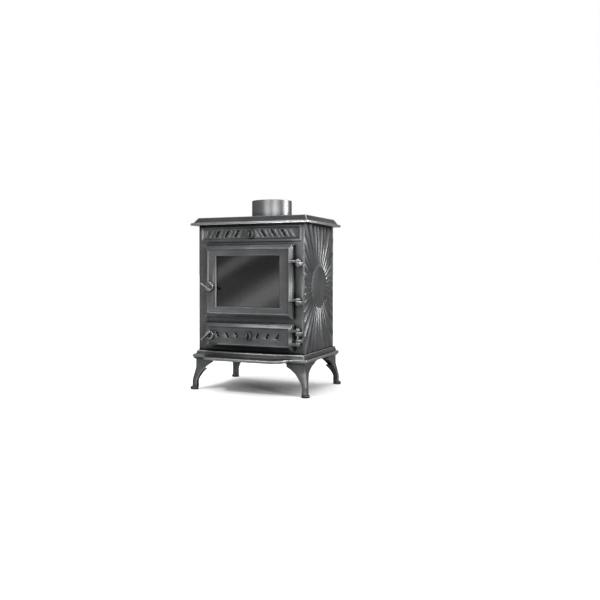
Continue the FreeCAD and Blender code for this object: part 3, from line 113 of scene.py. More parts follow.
class Finish:
    """A node material for one finish, with its Principled shader and object coordinates."""

    def __init__(self, name):
        self.material = bpy.data.materials.new(name)
        self.material.use_nodes = True
        self.tree = self.material.node_tree
        self.shader = self.tree.nodes["Principled BSDF"]
        self.place = self.tree.nodes.new("ShaderNodeTexCoord").outputs["Object"]

    def node(self, kind, **values):
        """Adds a node. values set its sockets or, where it has none of that name, its properties."""
        made = self.tree.nodes.new(kind)
        for name, value in values.items():
            if name in made.inputs:
                made.inputs[name].default_value = value
            else:
                setattr(made, name, value)
        return made

    def link(self, source, target):
        self.tree.links.new(source, target)

    def noise(self, scale, detail, roughness=0.5):
        made = self.node("ShaderNodeTexNoise", Scale=scale, Detail=detail, Roughness=roughness)
        self.link(self.place, made.inputs["Vector"])
        return made.outputs["Fac"]

    def ramp(self, source, low, high):
        """A blend from the colour low to the colour high as source crosses its middle range."""
        made = self.node("ShaderNodeValToRGB")
        self.link(source, made.inputs["Fac"])
        for element, place, colour in zip(made.color_ramp.elements, RAMP_ENDS, (low, high)):
            element.position = place
            element.color = (*colour, 1)
        return made.outputs["Color"]

    def spread(self, source, low, high):
        """Maps source from 0..1 to low..high."""
        made = self.node("ShaderNodeMapRange")
        self.link(source, made.inputs["Value"])
        made.inputs["To Min"].default_value = low
        made.inputs["To Max"].default_value = high
        return made.outputs["Result"]

    def rise(self, source, start, end=1.0):
        """Maps source from start..end to 0..1, and holds 0 before start and 1 after end."""
        made = self.node("ShaderNodeMapRange")
        self.link(source, made.inputs["Value"])
        made.inputs["From Min"].default_value = start
        made.inputs["From Max"].default_value = end
        return made.outputs["Result"]

    def mix(self, factor, first, second):
        """From first to second, each a socket or a colour, as factor goes from 0 to 1."""
        made = self.node("ShaderNodeMix", data_type="RGBA")
        self.link(factor, made.inputs[MIX_FACTOR])
        for source, target in ((first, made.inputs[MIX_FIRST]), (second, made.inputs[MIX_SECOND])):
            if isinstance(source, tuple):
                target.default_value = (*source, 1)
            else:
                self.link(source, target)
        return made.outputs[MIX_RESULT]

    def times(self, first, second):
        made = self.node("ShaderNodeMath", operation="MULTIPLY")
        self.link(first, made.inputs[0])
        self.link(second, made.inputs[1])
        return made.outputs["Value"]

    def bump(self, source, height, strength=1.0, after=None):
        """Raises the surface where source is bright. height is in metres."""
        made = self.node("ShaderNodeBump", Strength=strength, Distance=height)
        self.link(source, made.inputs["Height"])
        if after is not None:
            self.link(after, made.inputs["Normal"])
        return made.outputs["Normal"]


# %% [markdown]
# The paint gets two marks, and each is partly painted light. Along edges it turns bright and
# metallic: that is wear from cloths and hands, and also a painted highlight. In corners and
# slots it turns dark: that is soot, and also painted shade. Both could be painted by hand, but
# here the shader measures them, so that they follow any shape. An edge is where a Bevel node
# turns the surface's normal, and a corner is where ambient occlusion finds the surface closed in.

# %% Wear with painted highlights, soot with painted shade
# The edge mask is wear and a painted highlight at once. TOP_FADE fades it out on edges that face down, so
# the painted highlight sits on edges that face up.
FLAT_COSINE, EDGE_COSINE = 0.995, 0.9    # between the bevelled normal and the plain one
TOP_FADE = 0.45                          # how far a normal's height rises from no wear to full wear
EDGE_SAMPLES = 12
OPENNESS_SAMPLES = 8


def worn_and_highlit_edges(finish, reach, lowest):
    """The mask of wear and painted highlight: 1 on edges that turn sharply within reach, 0 on flats and
    where the normal dips below lowest.
    """
    soft = finish.node("ShaderNodeBevel", Radius=reach, samples=EDGE_SAMPLES)
    hard = finish.node("ShaderNodeNewGeometry")
    cosine = finish.node("ShaderNodeVectorMath", operation="DOT_PRODUCT")
    finish.link(soft.outputs["Normal"], cosine.inputs[0])
    finish.link(hard.outputs["Normal"], cosine.inputs[1])
    facing = finish.node("ShaderNodeSeparateXYZ")
    finish.link(hard.outputs["Normal"], facing.inputs["Vector"])
    return finish.times(finish.rise(cosine.outputs["Value"], FLAT_COSINE, EDGE_COSINE),
                        finish.rise(facing.outputs["Z"], lowest, lowest + TOP_FADE))


def openness(finish, reach):
    """1 on flats and outer edges, and less in corners and slots narrower than reach."""
    return finish.node("ShaderNodeAmbientOcclusion", Distance=reach, samples=OPENNESS_SAMPLES).outputs["AO"]


# %% [markdown]
# The paint is a satin grey over sand-cast iron. Cast skin has two scales of roughness: sand
# grain of about a millimetre, and slow waves of a few centimetres that break up reflections.
# One function makes every iron of the stove, and the irons differ only in the values it gets.

# %% Painted cast iron
PAINT_CLOUDS = (14.0, 4.0)               # each noise: scale, detail and, for the grain, roughness
GLOSS_CLOUDS = (30.0, 5.0)
CAST_WAVES = (24.0, 1.0)
SAND_GRAIN = (900.0, 2.0, 0.6)
WAVE_HEIGHT, WAVE_STRENGTH = 0.6 * MM, 0.5
GLOSSIER, DULLER = -0.06, 0.07           # how far the clouds move the roughness
SHINE_TINT = (0.3, 0.3, 0.3)
CORNER_REACH = 25.0 * MM
# Soot and painted shade darken corners that ambient occlusion finds closed in, fully below this openness.
FULL_SOOT_AND_SHADE_BELOW = 1 / 3                      # openness of a corner that is all grime
# Past this openness an edge gets its wear and painted highlight.
WORN_HIGHLIGHT_ABOVE = 0.8                         # openness past which an edge is rubbed
# The colour of the soot and painted shade, as a share of the dark paint's brightness.
SOOT_AND_SHADE_SHARE = 0.15                       # of the dark paint's brightness


def painted_iron(name, dark, light, worn_highlight, grain, roughness, metal, shine, reach,
                 lowest=-0.8, worn_highlight_metal=0.9):
    """Clouds from dark to light, soot and painted shade in corners, wear and a painted highlight within
    reach of an edge, grain as high as given.
    """
    finish = Finish(name)
    shader = finish.shader
    shader.inputs["Specular IOR Level"].default_value = shine
    shader.inputs["Specular Tint"].default_value = (*SHINE_TINT, 1)
    open_sides = openness(finish, CORNER_REACH)
    # Soot and painted shade: the coat darkens in corners and slots within CORNER_REACH.
    soot_and_shade = tuple(SOOT_AND_SHADE_SHARE * channel for channel in dark)
    coat = finish.ramp(finish.noise(*PAINT_CLOUDS), dark, light)
    coat_with_soot_and_shade = finish.mix(finish.rise(open_sides, FULL_SOOT_AND_SHADE_BELOW), soot_and_shade, coat)
    # Wear and a painted highlight: open edges turn bright and more metallic.
    edges = finish.times(worn_and_highlit_edges(finish, reach, lowest), finish.rise(open_sides, WORN_HIGHLIGHT_ABOVE))
    finish.link(finish.mix(edges, coat_with_soot_and_shade, worn_highlight), shader.inputs["Base Color"])
    finish.link(finish.spread(edges, metal, worn_highlight_metal), shader.inputs["Metallic"])
    skin = finish.spread(finish.noise(*GLOSS_CLOUDS), roughness + GLOSSIER, roughness + DULLER)
    finish.link(skin, shader.inputs["Roughness"])
    waves = finish.bump(finish.noise(*CAST_WAVES), WAVE_HEIGHT, WAVE_STRENGTH)
    finish.link(finish.bump(finish.noise(*SAND_GRAIN), grain, after=waves), shader.inputs["Normal"])
    return finish.material


# %% [markdown]
# The same paint covers three kinds of casting. Most get a little wear and painted highlight along
# their edges, the slotted fronts and their knobs less, and the lips of the top plate and hearth
# get a bright painted highlight over their whole height. The handles, the turned collar and the
# raw iron inside have values of their own.

# %% The stove's irons
STOVE_PAINT = {"dark": (0.042, 0.043, 0.044), "light": (0.064, 0.065, 0.067), "grain": 0.1 * MM,
               "roughness": 0.33, "metal": 0.65, "shine": 0.3}
PAINT = painted_iron("stove_paint", **STOVE_PAINT, worn_highlight=(0.55, 0.55, 0.555), reach=1.6 * MM)
FRONT_PAINT = painted_iron("front_paint", **STOVE_PAINT, worn_highlight=(0.3, 0.3, 0.303), reach=0.9 * MM)
# The lips' bright line along their rounded nose is a painted highlight, with some wear.
LIP_HIGHLIGHT_PAINT = painted_iron("lip_highlight_paint", **STOVE_PAINT, worn_highlight=(0.95, 0.95, 0.955), reach=7.5 * MM,
                         lowest=-0.35, worn_highlight_metal=0.6)
HANDLE_IRON = painted_iron("handle_iron", dark=(0.13, 0.13, 0.132), light=(0.19, 0.19, 0.193),
                           worn_highlight=(0.8, 0.8, 0.805), grain=0.06 * MM, roughness=0.27,
                           metal=0.75, shine=0.4, reach=1.6 * MM)
COLLAR_IRON = painted_iron("collar_iron", dark=(0.078, 0.079, 0.081), light=(0.094, 0.095, 0.098),
                           worn_highlight=(0.5, 0.5, 0.505), grain=0.04 * MM, roughness=0.36,
                           metal=0.8, shine=0.4, reach=1.4 * MM)
RAW_IRON = painted_iron("raw_iron", dark=(0.02, 0.0195, 0.019), light=(0.04, 0.039, 0.037),
                        worn_highlight=(0.1, 0.096, 0.092), grain=0.2 * MM, roughness=0.7,
                        metal=0.0, shine=0.2, reach=1.4 * MM)

# %% [markdown]
# Shutters, ash pan and fasteners are rolled steel, smooth with a faint grain along the sheet. A
# noise that is stretched by a Mapping node gives that grain, in colour, gloss and bump alike.

# %% Sheet steel and bolts
ROLLED_SCALE = (40.0, 40.0, 900.0)
ROLLED_DETAIL = 3.0
ROLLED_HEIGHT = 0.03 * MM
ROLLED_GLOSSIER, ROLLED_DULLER = -0.08, 0.1
STEEL_METAL = 0.85


def sheet_steel(name, dark, light, roughness):
    finish = Finish(name)
    finish.shader.inputs["Metallic"].default_value = STEEL_METAL
    stretch = finish.node("ShaderNodeMapping", Scale=ROLLED_SCALE)
    finish.link(finish.place, stretch.inputs["Vector"])
    rolled = finish.node("ShaderNodeTexNoise", Scale=1.0, Detail=ROLLED_DETAIL)
    finish.link(stretch.outputs["Vector"], rolled.inputs["Vector"])
    grain = rolled.outputs["Fac"]
    finish.link(finish.ramp(grain, dark, light), finish.shader.inputs["Base Color"])
    finish.link(finish.spread(grain, roughness + ROLLED_GLOSSIER, roughness + ROLLED_DULLER),
                finish.shader.inputs["Roughness"])
    finish.link(finish.bump(grain, ROLLED_HEIGHT), finish.shader.inputs["Normal"])
    return finish.material


BOLT_STEEL = sheet_steel("bolt_steel", (0.05, 0.05, 0.052), (0.11, 0.11, 0.112), 0.38)
# The sheet steel is near black: partly the dark blue of the steel, partly painted shade for the shutters
# seen through the slots.
SHADED_SHEET_STEEL = sheet_steel("sheet_steel", (0.012, 0.012, 0.013), (0.03, 0.03, 0.032), 0.45)

# %% [markdown]
# The fire bricks are pressed vermiculite, flakes of gold and grey under patches of soot. Voronoi
# cells are the flakes: each cell has a colour of its own, and the distance from its middle
# raises it a little.

# %% Fire brick
BRICK_FLAKES = 420.0
BRICK_COLOURS = (0.16, 0.12, 0.08), (0.34, 0.27, 0.19)
SOOT_COLOURS = (0.045, 0.04, 0.036), (0.12, 0.1, 0.08)
SOOT_CLOUDS = (9.0, 3.0)
SOOT_PATCHES = (5.0, 2.0)
BRICK_ROUGHNESS = 0.92
FLAKE_HEIGHT = 0.8 * MM


def fire_brick():
    finish = Finish("fire_brick")
    flakes = finish.node("ShaderNodeTexVoronoi", Scale=BRICK_FLAKES, feature="F1")
    finish.link(finish.place, flakes.inputs["Vector"])
    base = finish.ramp(flakes.outputs["Color"], *BRICK_COLOURS)
    soot = finish.ramp(finish.noise(*SOOT_CLOUDS), *SOOT_COLOURS)
    finish.link(finish.mix(finish.noise(*SOOT_PATCHES), base, soot), finish.shader.inputs["Base Color"])
    finish.shader.inputs["Roughness"].default_value = BRICK_ROUGHNESS
    finish.link(finish.bump(flakes.outputs["Distance"], FLAKE_HEIGHT), finish.shader.inputs["Normal"])
    return finish.material


# %% [markdown]
# The seals are glass-fibre rope, and the window is ceramic glass. The rope's threads are a fine
# slanted wave, since its strands are real geometry further on. The glass lets little light
# through: its near-black tint is painted shade for the firebox behind it. It has a faint film,
# which softens what it mirrors.

# %% Rope and oven glass
ROPE_THREADS = 260.0
ROPE_UNEVENNESS = 0.6
ROPE_COLOURS = (0.03, 0.03, 0.031), (0.11, 0.11, 0.112)
ROPE_ROUGHNESS = 0.95
THREAD_HEIGHT = 0.7 * MM
GLASS_IOR = 1.33
GLASS_SHADE_COLOURS = (0.02, 0.02, 0.0205), (0.04, 0.04, 0.041)
GLASS_CLOUDS = (7.0, 3.0)
GLASS_FILM = (60.0, 3.0)
FILM_ROUGHNESS = (0.05, 0.09)


def seal_rope():
    finish = Finish("rope_seal")
    threads = finish.node("ShaderNodeTexWave", Scale=ROPE_THREADS, Distortion=ROPE_UNEVENNESS,
                          bands_direction="DIAGONAL")
    finish.link(finish.place, threads.inputs["Vector"])
    weave = threads.outputs["Fac"]
    finish.link(finish.ramp(weave, *ROPE_COLOURS), finish.shader.inputs["Base Color"])
    finish.shader.inputs["Roughness"].default_value = ROPE_ROUGHNESS
    finish.link(finish.bump(weave, THREAD_HEIGHT), finish.shader.inputs["Normal"])
    return finish.material


def oven_glass():
    finish = Finish("ceramic_glass")
    shader = finish.shader
    shader.inputs["Transmission Weight"].default_value = 1.0
    shader.inputs["IOR"].default_value = GLASS_IOR
    # The near-black tint is painted shade for the firebox behind the glass.
    finish.link(finish.ramp(finish.noise(*GLASS_CLOUDS), *GLASS_SHADE_COLOURS), shader.inputs["Base Color"])
    finish.link(finish.spread(finish.noise(*GLASS_FILM), *FILM_ROUGHNESS), shader.inputs["Roughness"])
    return finish.material


# %% [markdown]
# Each node of the model names a material slot, and each slot gets one finish, so no node is
# left bare.

# %% A finish for each slot
ROPE = seal_rope()
FINISH_OF = {
    "painted_cast_iron": PAINT, "collar_iron": COLLAR_IRON, "handle_iron": HANDLE_IRON,
    "raw_cast_iron": RAW_IRON, "bolt_steel": BOLT_STEEL, "sheet_steel": SHADED_SHEET_STEEL,
    "ceramic_glass": oven_glass(), "rope_seal": ROPE, "fire_brick": fire_brick(),
}
for node, piece in NODES.items():
    piece.data.materials.clear()
    piece.data.materials.append(FINISH_OF[SLOT_OF[node]])
print("finishes:", len(FINISH_OF))

# %% [markdown]
# What this script makes itself is a mesh that stands for one node of the model. These helpers
# add it to the scene, turn its modifiers into plain mesh, hang it on the body of the node it
# stands for and hide that node, so that it moves with the same body.

# %% Pieces that stand for nodes


def add_to_scene(name, mesh, finish):
    made = bpy.data.objects.new(name, mesh)
    bpy.context.scene.collection.objects.link(made)
    made.data.materials.clear()
    made.data.materials.append(finish)
    return made


def with_modifiers_applied(piece):
    graph = bpy.context.evaluated_depsgraph_get()
    graph.update()
    mesh = bpy.data.meshes.new_from_object(piece.evaluated_get(graph))
    piece.modifiers.clear()
    piece.data = mesh
    return piece


def stand_for(piece, node):
    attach(piece, BODY_OF[node])
    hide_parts(node)


# %% [markdown]
# A casting has no knife edges: the mould rounds them by about a millimetre, and that rounding
# is what catches the light. The model's meshes are loose triangles with sharp edges, so each
# visible casting is a merged copy, with its flat triangles dissolved into whole faces and then
# bevelled. A Bevel node in the paint alone would round only the shading, not the outline.

# %% Castings with rounded edges
FLAT_ANGLE = math.radians(1.0)
EDGE_ANGLE = math.radians(28)
SMOOTH_ANGLE = math.radians(40)
SAME_POINT = 0.01 * MM
EDGE_SEGMENTS = 2


def merged_copy(node):
    """One node's mesh with its doubles merged and its flat faces made whole."""
    shape = bmesh.new()
    shape.from_mesh(NODES[node].data)
    bmesh.ops.remove_doubles(shape, verts=shape.verts, dist=SAME_POINT)
    bmesh.ops.dissolve_limit(shape, angle_limit=FLAT_ANGLE, verts=shape.verts, edges=shape.edges)
    mesh = bpy.data.meshes.new(node)
    shape.to_mesh(mesh)
    shape.free()
    return mesh


def soften(piece, width):
    """Rounds the sharp edges of a piece and smooths what is left between them."""
    bevel = piece.modifiers.new("edge", "BEVEL")
    bevel.width = width
    bevel.segments = EDGE_SEGMENTS
    bevel.limit_method = "ANGLE"
    bevel.angle_limit = EDGE_ANGLE
    bevel.use_clamp_overlap = True
    with_modifiers_applied(piece)
    piece.data.shade_smooth()
    piece.data.set_sharp_from_angle(angle=SMOOTH_ANGLE)


# %% [markdown]
# Each casting has a width for its rounding: broad on the legs, narrow on the sides, so that the
# rays of the sunburst stay crisp, and narrowest on the small knobs.

# %% The stove's castings
EDGE_WIDTHS_MM = {
    "top_plate": 1.0, "front_plate": 0.7, "base_plate": 0.8, "back_plate": 0.8,
    "leg_front_left": 1.2, "leg_front_right": 1.2, "leg_rear_left": 1.2, "leg_rear_right": 1.2,
    "fire_door": 0.6, "ash_door": 0.6, "fire_door_handle": 0.5, "ash_door_handle": 0.5,
    "vent_knob": 0.4, "ash_air_knob": 0.4, "left_side_panel": 0.5, "right_side_panel": 0.5,
}
OWN_PAINT = {
    "top_plate": LIP_HIGHLIGHT_PAINT, "base_plate": LIP_HIGHLIGHT_PAINT, "front_plate": FRONT_PAINT,
    "ash_door": FRONT_PAINT, "vent_knob": FRONT_PAINT, "ash_air_knob": FRONT_PAINT,
}
for node, width_mm in EDGE_WIDTHS_MM.items():
    finish = OWN_PAINT.get(node, FINISH_OF[SLOT_OF[node]])
    piece = add_to_scene(node + "_cast", merged_copy(node), finish)
    soften(piece, width_mm * MM)
    stand_for(piece, node)
    print(node, len(piece.data.polygons), "faces")

# %% [markdown]
# The flue collar is turned on a lathe after it is cast, so it is truly round. A profile spun
# round the flue's axis gives that, and it reads its height and radius from the node's box.

# %% Turning
TURNED_STEPS = 180
CORNER_STEPS = 5
SAME_TURNED_POINT = 0.001 * MM


def rounded_corner(centre, radius, start):
    """A quarter turn of points, anticlockwise from start degrees."""
    angles = (math.radians(start + 90 * step / CORNER_STEPS) for step in range(CORNER_STEPS + 1))
    return [(centre[0] + radius * math.cos(a), centre[1] + radius * math.sin(a)) for a in angles]


def turned(name, profile, axis_x, axis_y, finish):
    """A closed profile of radii and heights, spun round an upright axis."""
    shape = bmesh.new()
    points = [shape.verts.new((axis_x + radius, axis_y, height)) for radius, height in profile]
    edges = [shape.edges.new(pair) for pair in zip(points, points[1:] + points[:1])]
    bmesh.ops.spin(shape, geom=points + edges, cent=(axis_x, axis_y, 0), axis=(0, 0, 1),
                   angle=math.tau, steps=TURNED_STEPS, use_merge=True)
    bmesh.ops.remove_doubles(shape, verts=shape.verts, dist=SAME_TURNED_POINT)
    bmesh.ops.recalc_face_normals(shape, faces=shape.faces)
    mesh = bpy.data.meshes.new(name)
    shape.to_mesh(mesh)
    shape.free()
    piece = add_to_scene(name, mesh, finish)
    mesh.shade_smooth()
    mesh.set_sharp_from_angle(angle=SMOOTH_ANGLE)
    return piece


# %% [markdown]
# The collar's wall stands on a short foot that is a little wider, and its rim is rounded inside
# and outside. Only these four small sizes are given, and the rest comes from the node's box.

# %% Turned flue collar
COLLAR_WALL = 4.0 * MM
COLLAR_FOOT_STEP = 1.0 * MM
COLLAR_FOOT_HEIGHT = 6.0 * MM
COLLAR_EDGE = 1.2 * MM

collar_low, collar_high = (Vector(corner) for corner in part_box("flue_collar"))
FLUE = (collar_low + collar_high) / 2
foot_radius = (collar_high.x - collar_low.x) / 2
outer = foot_radius - COLLAR_FOOT_STEP
inner = outer - COLLAR_WALL
foot, rim = collar_low.z, collar_high.z
collar_profile = [(inner, foot), (foot_radius, foot), (foot_radius, foot + COLLAR_FOOT_HEIGHT),
                  (outer, foot + COLLAR_FOOT_HEIGHT)]
collar_profile += rounded_corner((outer - COLLAR_EDGE, rim - COLLAR_EDGE), COLLAR_EDGE, 0)
collar_profile += rounded_corner((inner + COLLAR_EDGE, rim - COLLAR_EDGE), COLLAR_EDGE, 90)
collar = turned("flue_collar_turned", collar_profile, FLUE.x, FLUE.y, COLLAR_IRON)
stand_for(collar, "flue_collar")
print("collar", len(collar.data.polygons), "faces, radius in mm", round(outer / MM, 2))

# %% [markdown]
# The bolts and the rope seals repeat one small shape, so Geometry Nodes make them. A tree's
# sizes are named inputs, its copies are made real and get their finish inside the tree, and
# the result becomes a plain mesh.

# %% Helpers for geometry trees


def tree_with_inputs(name, inputs):
    """A geometry tree with its input and output nodes, and a named socket for each size."""
    tree = bpy.data.node_groups.new(name, "GeometryNodeTree")
    tree.interface.new_socket("Geometry", in_out="OUTPUT", socket_type="NodeSocketGeometry")
    for socket_name, kind in inputs.items():
        tree.interface.new_socket(socket_name, in_out="INPUT", socket_type="NodeSocket" + kind)
    return tree, tree.nodes.new("NodeGroupInput").outputs, tree.nodes.new("NodeGroupOutput").inputs


def add_node(tree, kind, links=None, **values):
    """Adds a node. values set its sockets or properties, and links join sources to its sockets."""
    made = tree.nodes.new(kind)
    for key, value in values.items():
        if key in made.inputs:
            made.inputs[key].default_value = value
        else:
            setattr(made, key, value)
    for socket, source in (links or {}).items():
        tree.links.new(source, made.inputs[socket])
    return made


def finish_tree(tree, geometry, finish, result):
    """The last two nodes of every tree: real copies, then their finish."""
    real = add_node(tree, "GeometryNodeRealizeInstances", {"Geometry": geometry})
    dressed = add_node(tree, "GeometryNodeSetMaterial",
                       {"Geometry": real.outputs["Geometry"], "Material": finish})
    tree.links.new(dressed.outputs["Geometry"], result["Geometry"])


def grown(name, tree, sizes):
    """A piece made by a geometry tree: its inputs set, its result made a plain mesh."""
    piece = add_to_scene(name, bpy.data.meshes.new(name), sizes["Finish"])
    modifier = piece.modifiers.new("grow", "NODES")
    modifier.node_group = tree
    for item in tree.interface.items_tree:
        if item.in_out == "INPUT":
            modifier[item.identifier] = sizes[item.name]
    return with_modifiers_applied(piece)


# %% [markdown]
# Four hexagon bolts hold the collar's flange. A grid with two points each way gives the corners
# of a square, and one bolt, a six-sided head on a round shank, goes on each point.

# %% A tree for four bolts
BOLTS_EACH_WAY = 2
HEAD_SIDES = 6
SHANK_SIDES = 24


def bolt_tree():
    tree, given, result = tree_with_inputs("four_bolts", {
        "Spacing": "Float", "Corner Radius": "Float", "Head Height": "Float",
        "Shank Radius": "Float", "Shank Length": "Float", "Head Middle": "Vector",
        "Shank Middle": "Vector", "Finish": "Material"})
    corners = add_node(tree, "GeometryNodeMeshGrid",
                       {"Size X": given["Spacing"], "Size Y": given["Spacing"]},
                       **{"Vertices X": BOLTS_EACH_WAY, "Vertices Y": BOLTS_EACH_WAY})
    bolt = add_node(tree, "GeometryNodeJoinGeometry")
    for radius, depth, middle, sides in (("Corner Radius", "Head Height", "Head Middle", HEAD_SIDES),
                                         ("Shank Radius", "Shank Length", "Shank Middle", SHANK_SIDES)):
        body = add_node(tree, "GeometryNodeMeshCylinder",
                        {"Radius": given[radius], "Depth": given[depth]}, Vertices=sides)
        placed = add_node(tree, "GeometryNodeTransform",
                          {"Geometry": body.outputs["Mesh"], "Translation": given[middle]})
        tree.links.new(placed.outputs["Geometry"], bolt.inputs["Geometry"])
    bolts = add_node(tree, "GeometryNodeInstanceOnPoints",
                     {"Points": corners.outputs["Mesh"], "Instance": bolt.outputs["Geometry"]})
    finish_tree(tree, bolts.outputs["Instances"], given["Finish"], result)
    return tree


# %% [markdown]
# A 6 mm bolt has a head 10 mm across its flats. The node's box gives the spacing and the length,
# and a small rounding of the edges takes the hardness off the heads.

# %% Collar bolts
BOLT_ACROSS = 10.0 * MM
BOLT_HEAD = 4.0 * MM
BOLT_SHANK_RADIUS = 3.0 * MM
BOLT_EDGE = 0.5 * MM

bolts_low, bolts_high = (Vector(corner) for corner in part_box("collar_bolts"))
corner_radius = BOLT_ACROSS / math.sqrt(3)
shank_top = bolts_high.z - BOLT_HEAD
bolts = grown("collar_bolts_hex", bolt_tree(), {
    "Spacing": bolts_high.x - bolts_low.x - 2 * corner_radius,
    "Corner Radius": corner_radius, "Head Height": BOLT_HEAD,
    "Shank Radius": BOLT_SHANK_RADIUS, "Shank Length": shank_top - bolts_low.z,
    "Head Middle": Vector((FLUE.x, FLUE.y, bolts_high.z - BOLT_HEAD / 2)),
    "Shank Middle": Vector((FLUE.x, FLUE.y, (shank_top + bolts_low.z) / 2)),
    "Finish": BOLT_STEEL})
soften(bolts, BOLT_EDGE)
stand_for(bolts, "collar_bolts")
print("collar bolts", len(bolts.data.polygons), "faces")

# %% [markdown]
# A door's seal is glass-fibre rope laid in a groove, and it shows when the door is open. Real
# rope is strands wound round each other, and a tree can lay it the same way. First it draws
# the groove's line, with rounded corners, cuts it in even steps and copies it for each strand.

# %% One line for each strand
CORNER_BENDS = 12


def strand_lines(tree, given):
    """The groove's line as a curve for each strand, upright in the door's plane."""
    outline = add_node(tree, "GeometryNodeCurvePrimitiveQuadrilateral",
                       {"Width": given["Width"], "Height": given["Height"]})
    rounded = add_node(tree, "GeometryNodeFilletCurve",
                       {"Curve": outline.outputs["Curve"], "Radius": given["Corner Radius"]},
                       mode="POLY", Count=CORNER_BENDS)
    upright = add_node(tree, "GeometryNodeTransform",
                       {"Geometry": rounded.outputs["Curve"], "Translation": given["Centre"]},
                       Rotation=(math.radians(90), 0, 0))
    even = add_node(tree, "GeometryNodeResampleCurve",
                    {"Curve": upright.outputs["Geometry"], "Count": given["Points"]})
    return add_node(tree, "GeometryNodeDuplicateElements",
                    {"Geometry": even.outputs["Curve"], "Amount": given["Strands"]}, domain="SPLINE")


# %% [markdown]
# Then each strand is shifted round the line as it runs along it. The angle grows with the way
# along the line, and each strand starts at its own share of a turn. The shift has two parts:
# sideways in the door's plane, square to the line, and deep into the groove.

# %% Winding the strands


def angle_round_line(tree, given, strands):
    """How far each point of each strand has turned round the line, in radians."""
    along = add_node(tree, "GeometryNodeSplineParameter").outputs["Factor"]
    turns = add_node(tree, "ShaderNodeMath", {0: along, 1: given["Turns"]}, operation="MULTIPLY")
    start = add_node(tree, "ShaderNodeMath",
                     {0: strands.outputs["Duplicate Index"], 1: given["Strands"]}, operation="DIVIDE")
    phase = add_node(tree, "ShaderNodeMath", {0: turns.outputs[0], 1: start.outputs[0]}, operation="ADD")
    angle = add_node(tree, "ShaderNodeMath", {0: phase.outputs[0]}, operation="MULTIPLY")
    angle.inputs[1].default_value = math.tau
    return angle.outputs[0]


def wound(tree, given, strands):
    """The strands, each point shifted off the line by its angle."""
    angle = angle_round_line(tree, given, strands)
    reach = {}
    for name, wave in (("Sideways", "COSINE"), ("Deep", "SINE")):
        swing = add_node(tree, "ShaderNodeMath", {0: angle}, operation=wave)
        reach[name] = add_node(tree, "ShaderNodeMath", {0: swing.outputs[0], 1: given[name]},
                               operation="MULTIPLY").outputs[0]
    tangent = add_node(tree, "GeometryNodeInputTangent").outputs["Tangent"]
    sideways = add_node(tree, "ShaderNodeVectorMath", {0: tangent}, operation="CROSS_PRODUCT")
    sideways.inputs[1].default_value = (0, 1, 0)
    side_shift = add_node(tree, "ShaderNodeVectorMath",
                          {0: sideways.outputs[0], "Scale": reach["Sideways"]}, operation="SCALE")
    deep_shift = add_node(tree, "ShaderNodeCombineXYZ", {"Y": reach["Deep"]})
    shift = add_node(tree, "ShaderNodeVectorMath",
                     {0: side_shift.outputs[0], 1: deep_shift.outputs[0]}, operation="ADD")
    return add_node(tree, "GeometryNodeSetPosition",
                    {"Geometry": strands.outputs["Geometry"], "Offset": shift.outputs[0]})


# %% [markdown]
# Last, a small circle runs along each strand and makes it a tube. The number of turns is whole,
# so that the ring closes, and the rope's box is the box of the model's plain seal.

# %% Rope seals
ROPE_WIDTH = 6.0 * MM
ROPE_CORNER = 5.0 * MM
STRANDS = 3
STRAND_RADIUS = 1.5 * MM
STRAND_SIDES = 8
STRAND_LAY = 13.0 * MM                   # the way along the rope for one turn of a strand
POINTS_PER_TURN = 10


def rope_tree():
    tree, given, result = tree_with_inputs("laid_rope", {
        "Width": "Float", "Height": "Float", "Corner Radius": "Float", "Turns": "Int",
        "Points": "Int", "Strands": "Int", "Strand Radius": "Float", "Sideways": "Float",
        "Deep": "Float", "Centre": "Vector", "Finish": "Material"})
    laid = wound(tree, given, strand_lines(tree, given))
    section = add_node(tree, "GeometryNodeCurvePrimitiveCircle",
                       {"Radius": given["Strand Radius"]}, Resolution=STRAND_SIDES)
    tubes = add_node(tree, "GeometryNodeCurveToMesh",
                     {"Curve": laid.outputs["Geometry"], "Profile Curve": section.outputs["Curve"]})
    finish_tree(tree, tubes.outputs["Mesh"], given["Finish"], result)
    return tree


ROPE_TREE = rope_tree()
for node in ("fire_door_rope", "ash_door_rope"):
    low, high = (Vector(corner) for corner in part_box(node))
    width, depth, height = high - low
    run = 2 * (width + height) - 4 * ROPE_WIDTH
    turns = round(run / STRAND_LAY)
    rope = grown(node + "_laid", ROPE_TREE, {
        "Width": width - ROPE_WIDTH, "Height": height - ROPE_WIDTH, "Corner Radius": ROPE_CORNER,
        "Turns": turns, "Points": turns * POINTS_PER_TURN, "Strands": STRANDS,
        "Strand Radius": STRAND_RADIUS, "Sideways": ROPE_WIDTH / 2 - STRAND_RADIUS,
        "Deep": depth / 2 - STRAND_RADIUS, "Centre": (low + high) / 2, "Finish": ROPE})
    rope.data.shade_smooth()
    stand_for(rope, node)
    print(rope.name, len(rope.data.polygons), "faces, about", round(run / MM), "mm long")

# %% [markdown]
# The stage is a pale floor in a white room. What the camera sees, also in a reflection or
# through glass, is plain white. What lights matt surfaces is another matter: the room is strong
# overhead and dark towards the horizon, so that what faces up is lit, and what hides under a
# rim is nearly black. The floor is lit past white, apart from the soft shadow under the stove,
# and throws little light back at the iron.

# %% White room and floor
OVERHEAD_LIGHT, HORIZON_LIGHT = 2.3, 0.02
HORIZON_HEIGHT = 0.1                     # where the light starts to grow, as the height of a direction
FLOOR_SEEN, FLOOR_BOUNCED = 0.95, 0.08
FLOOR_ROUGHNESS = 0.9
FLOOR_REACH = 40.0


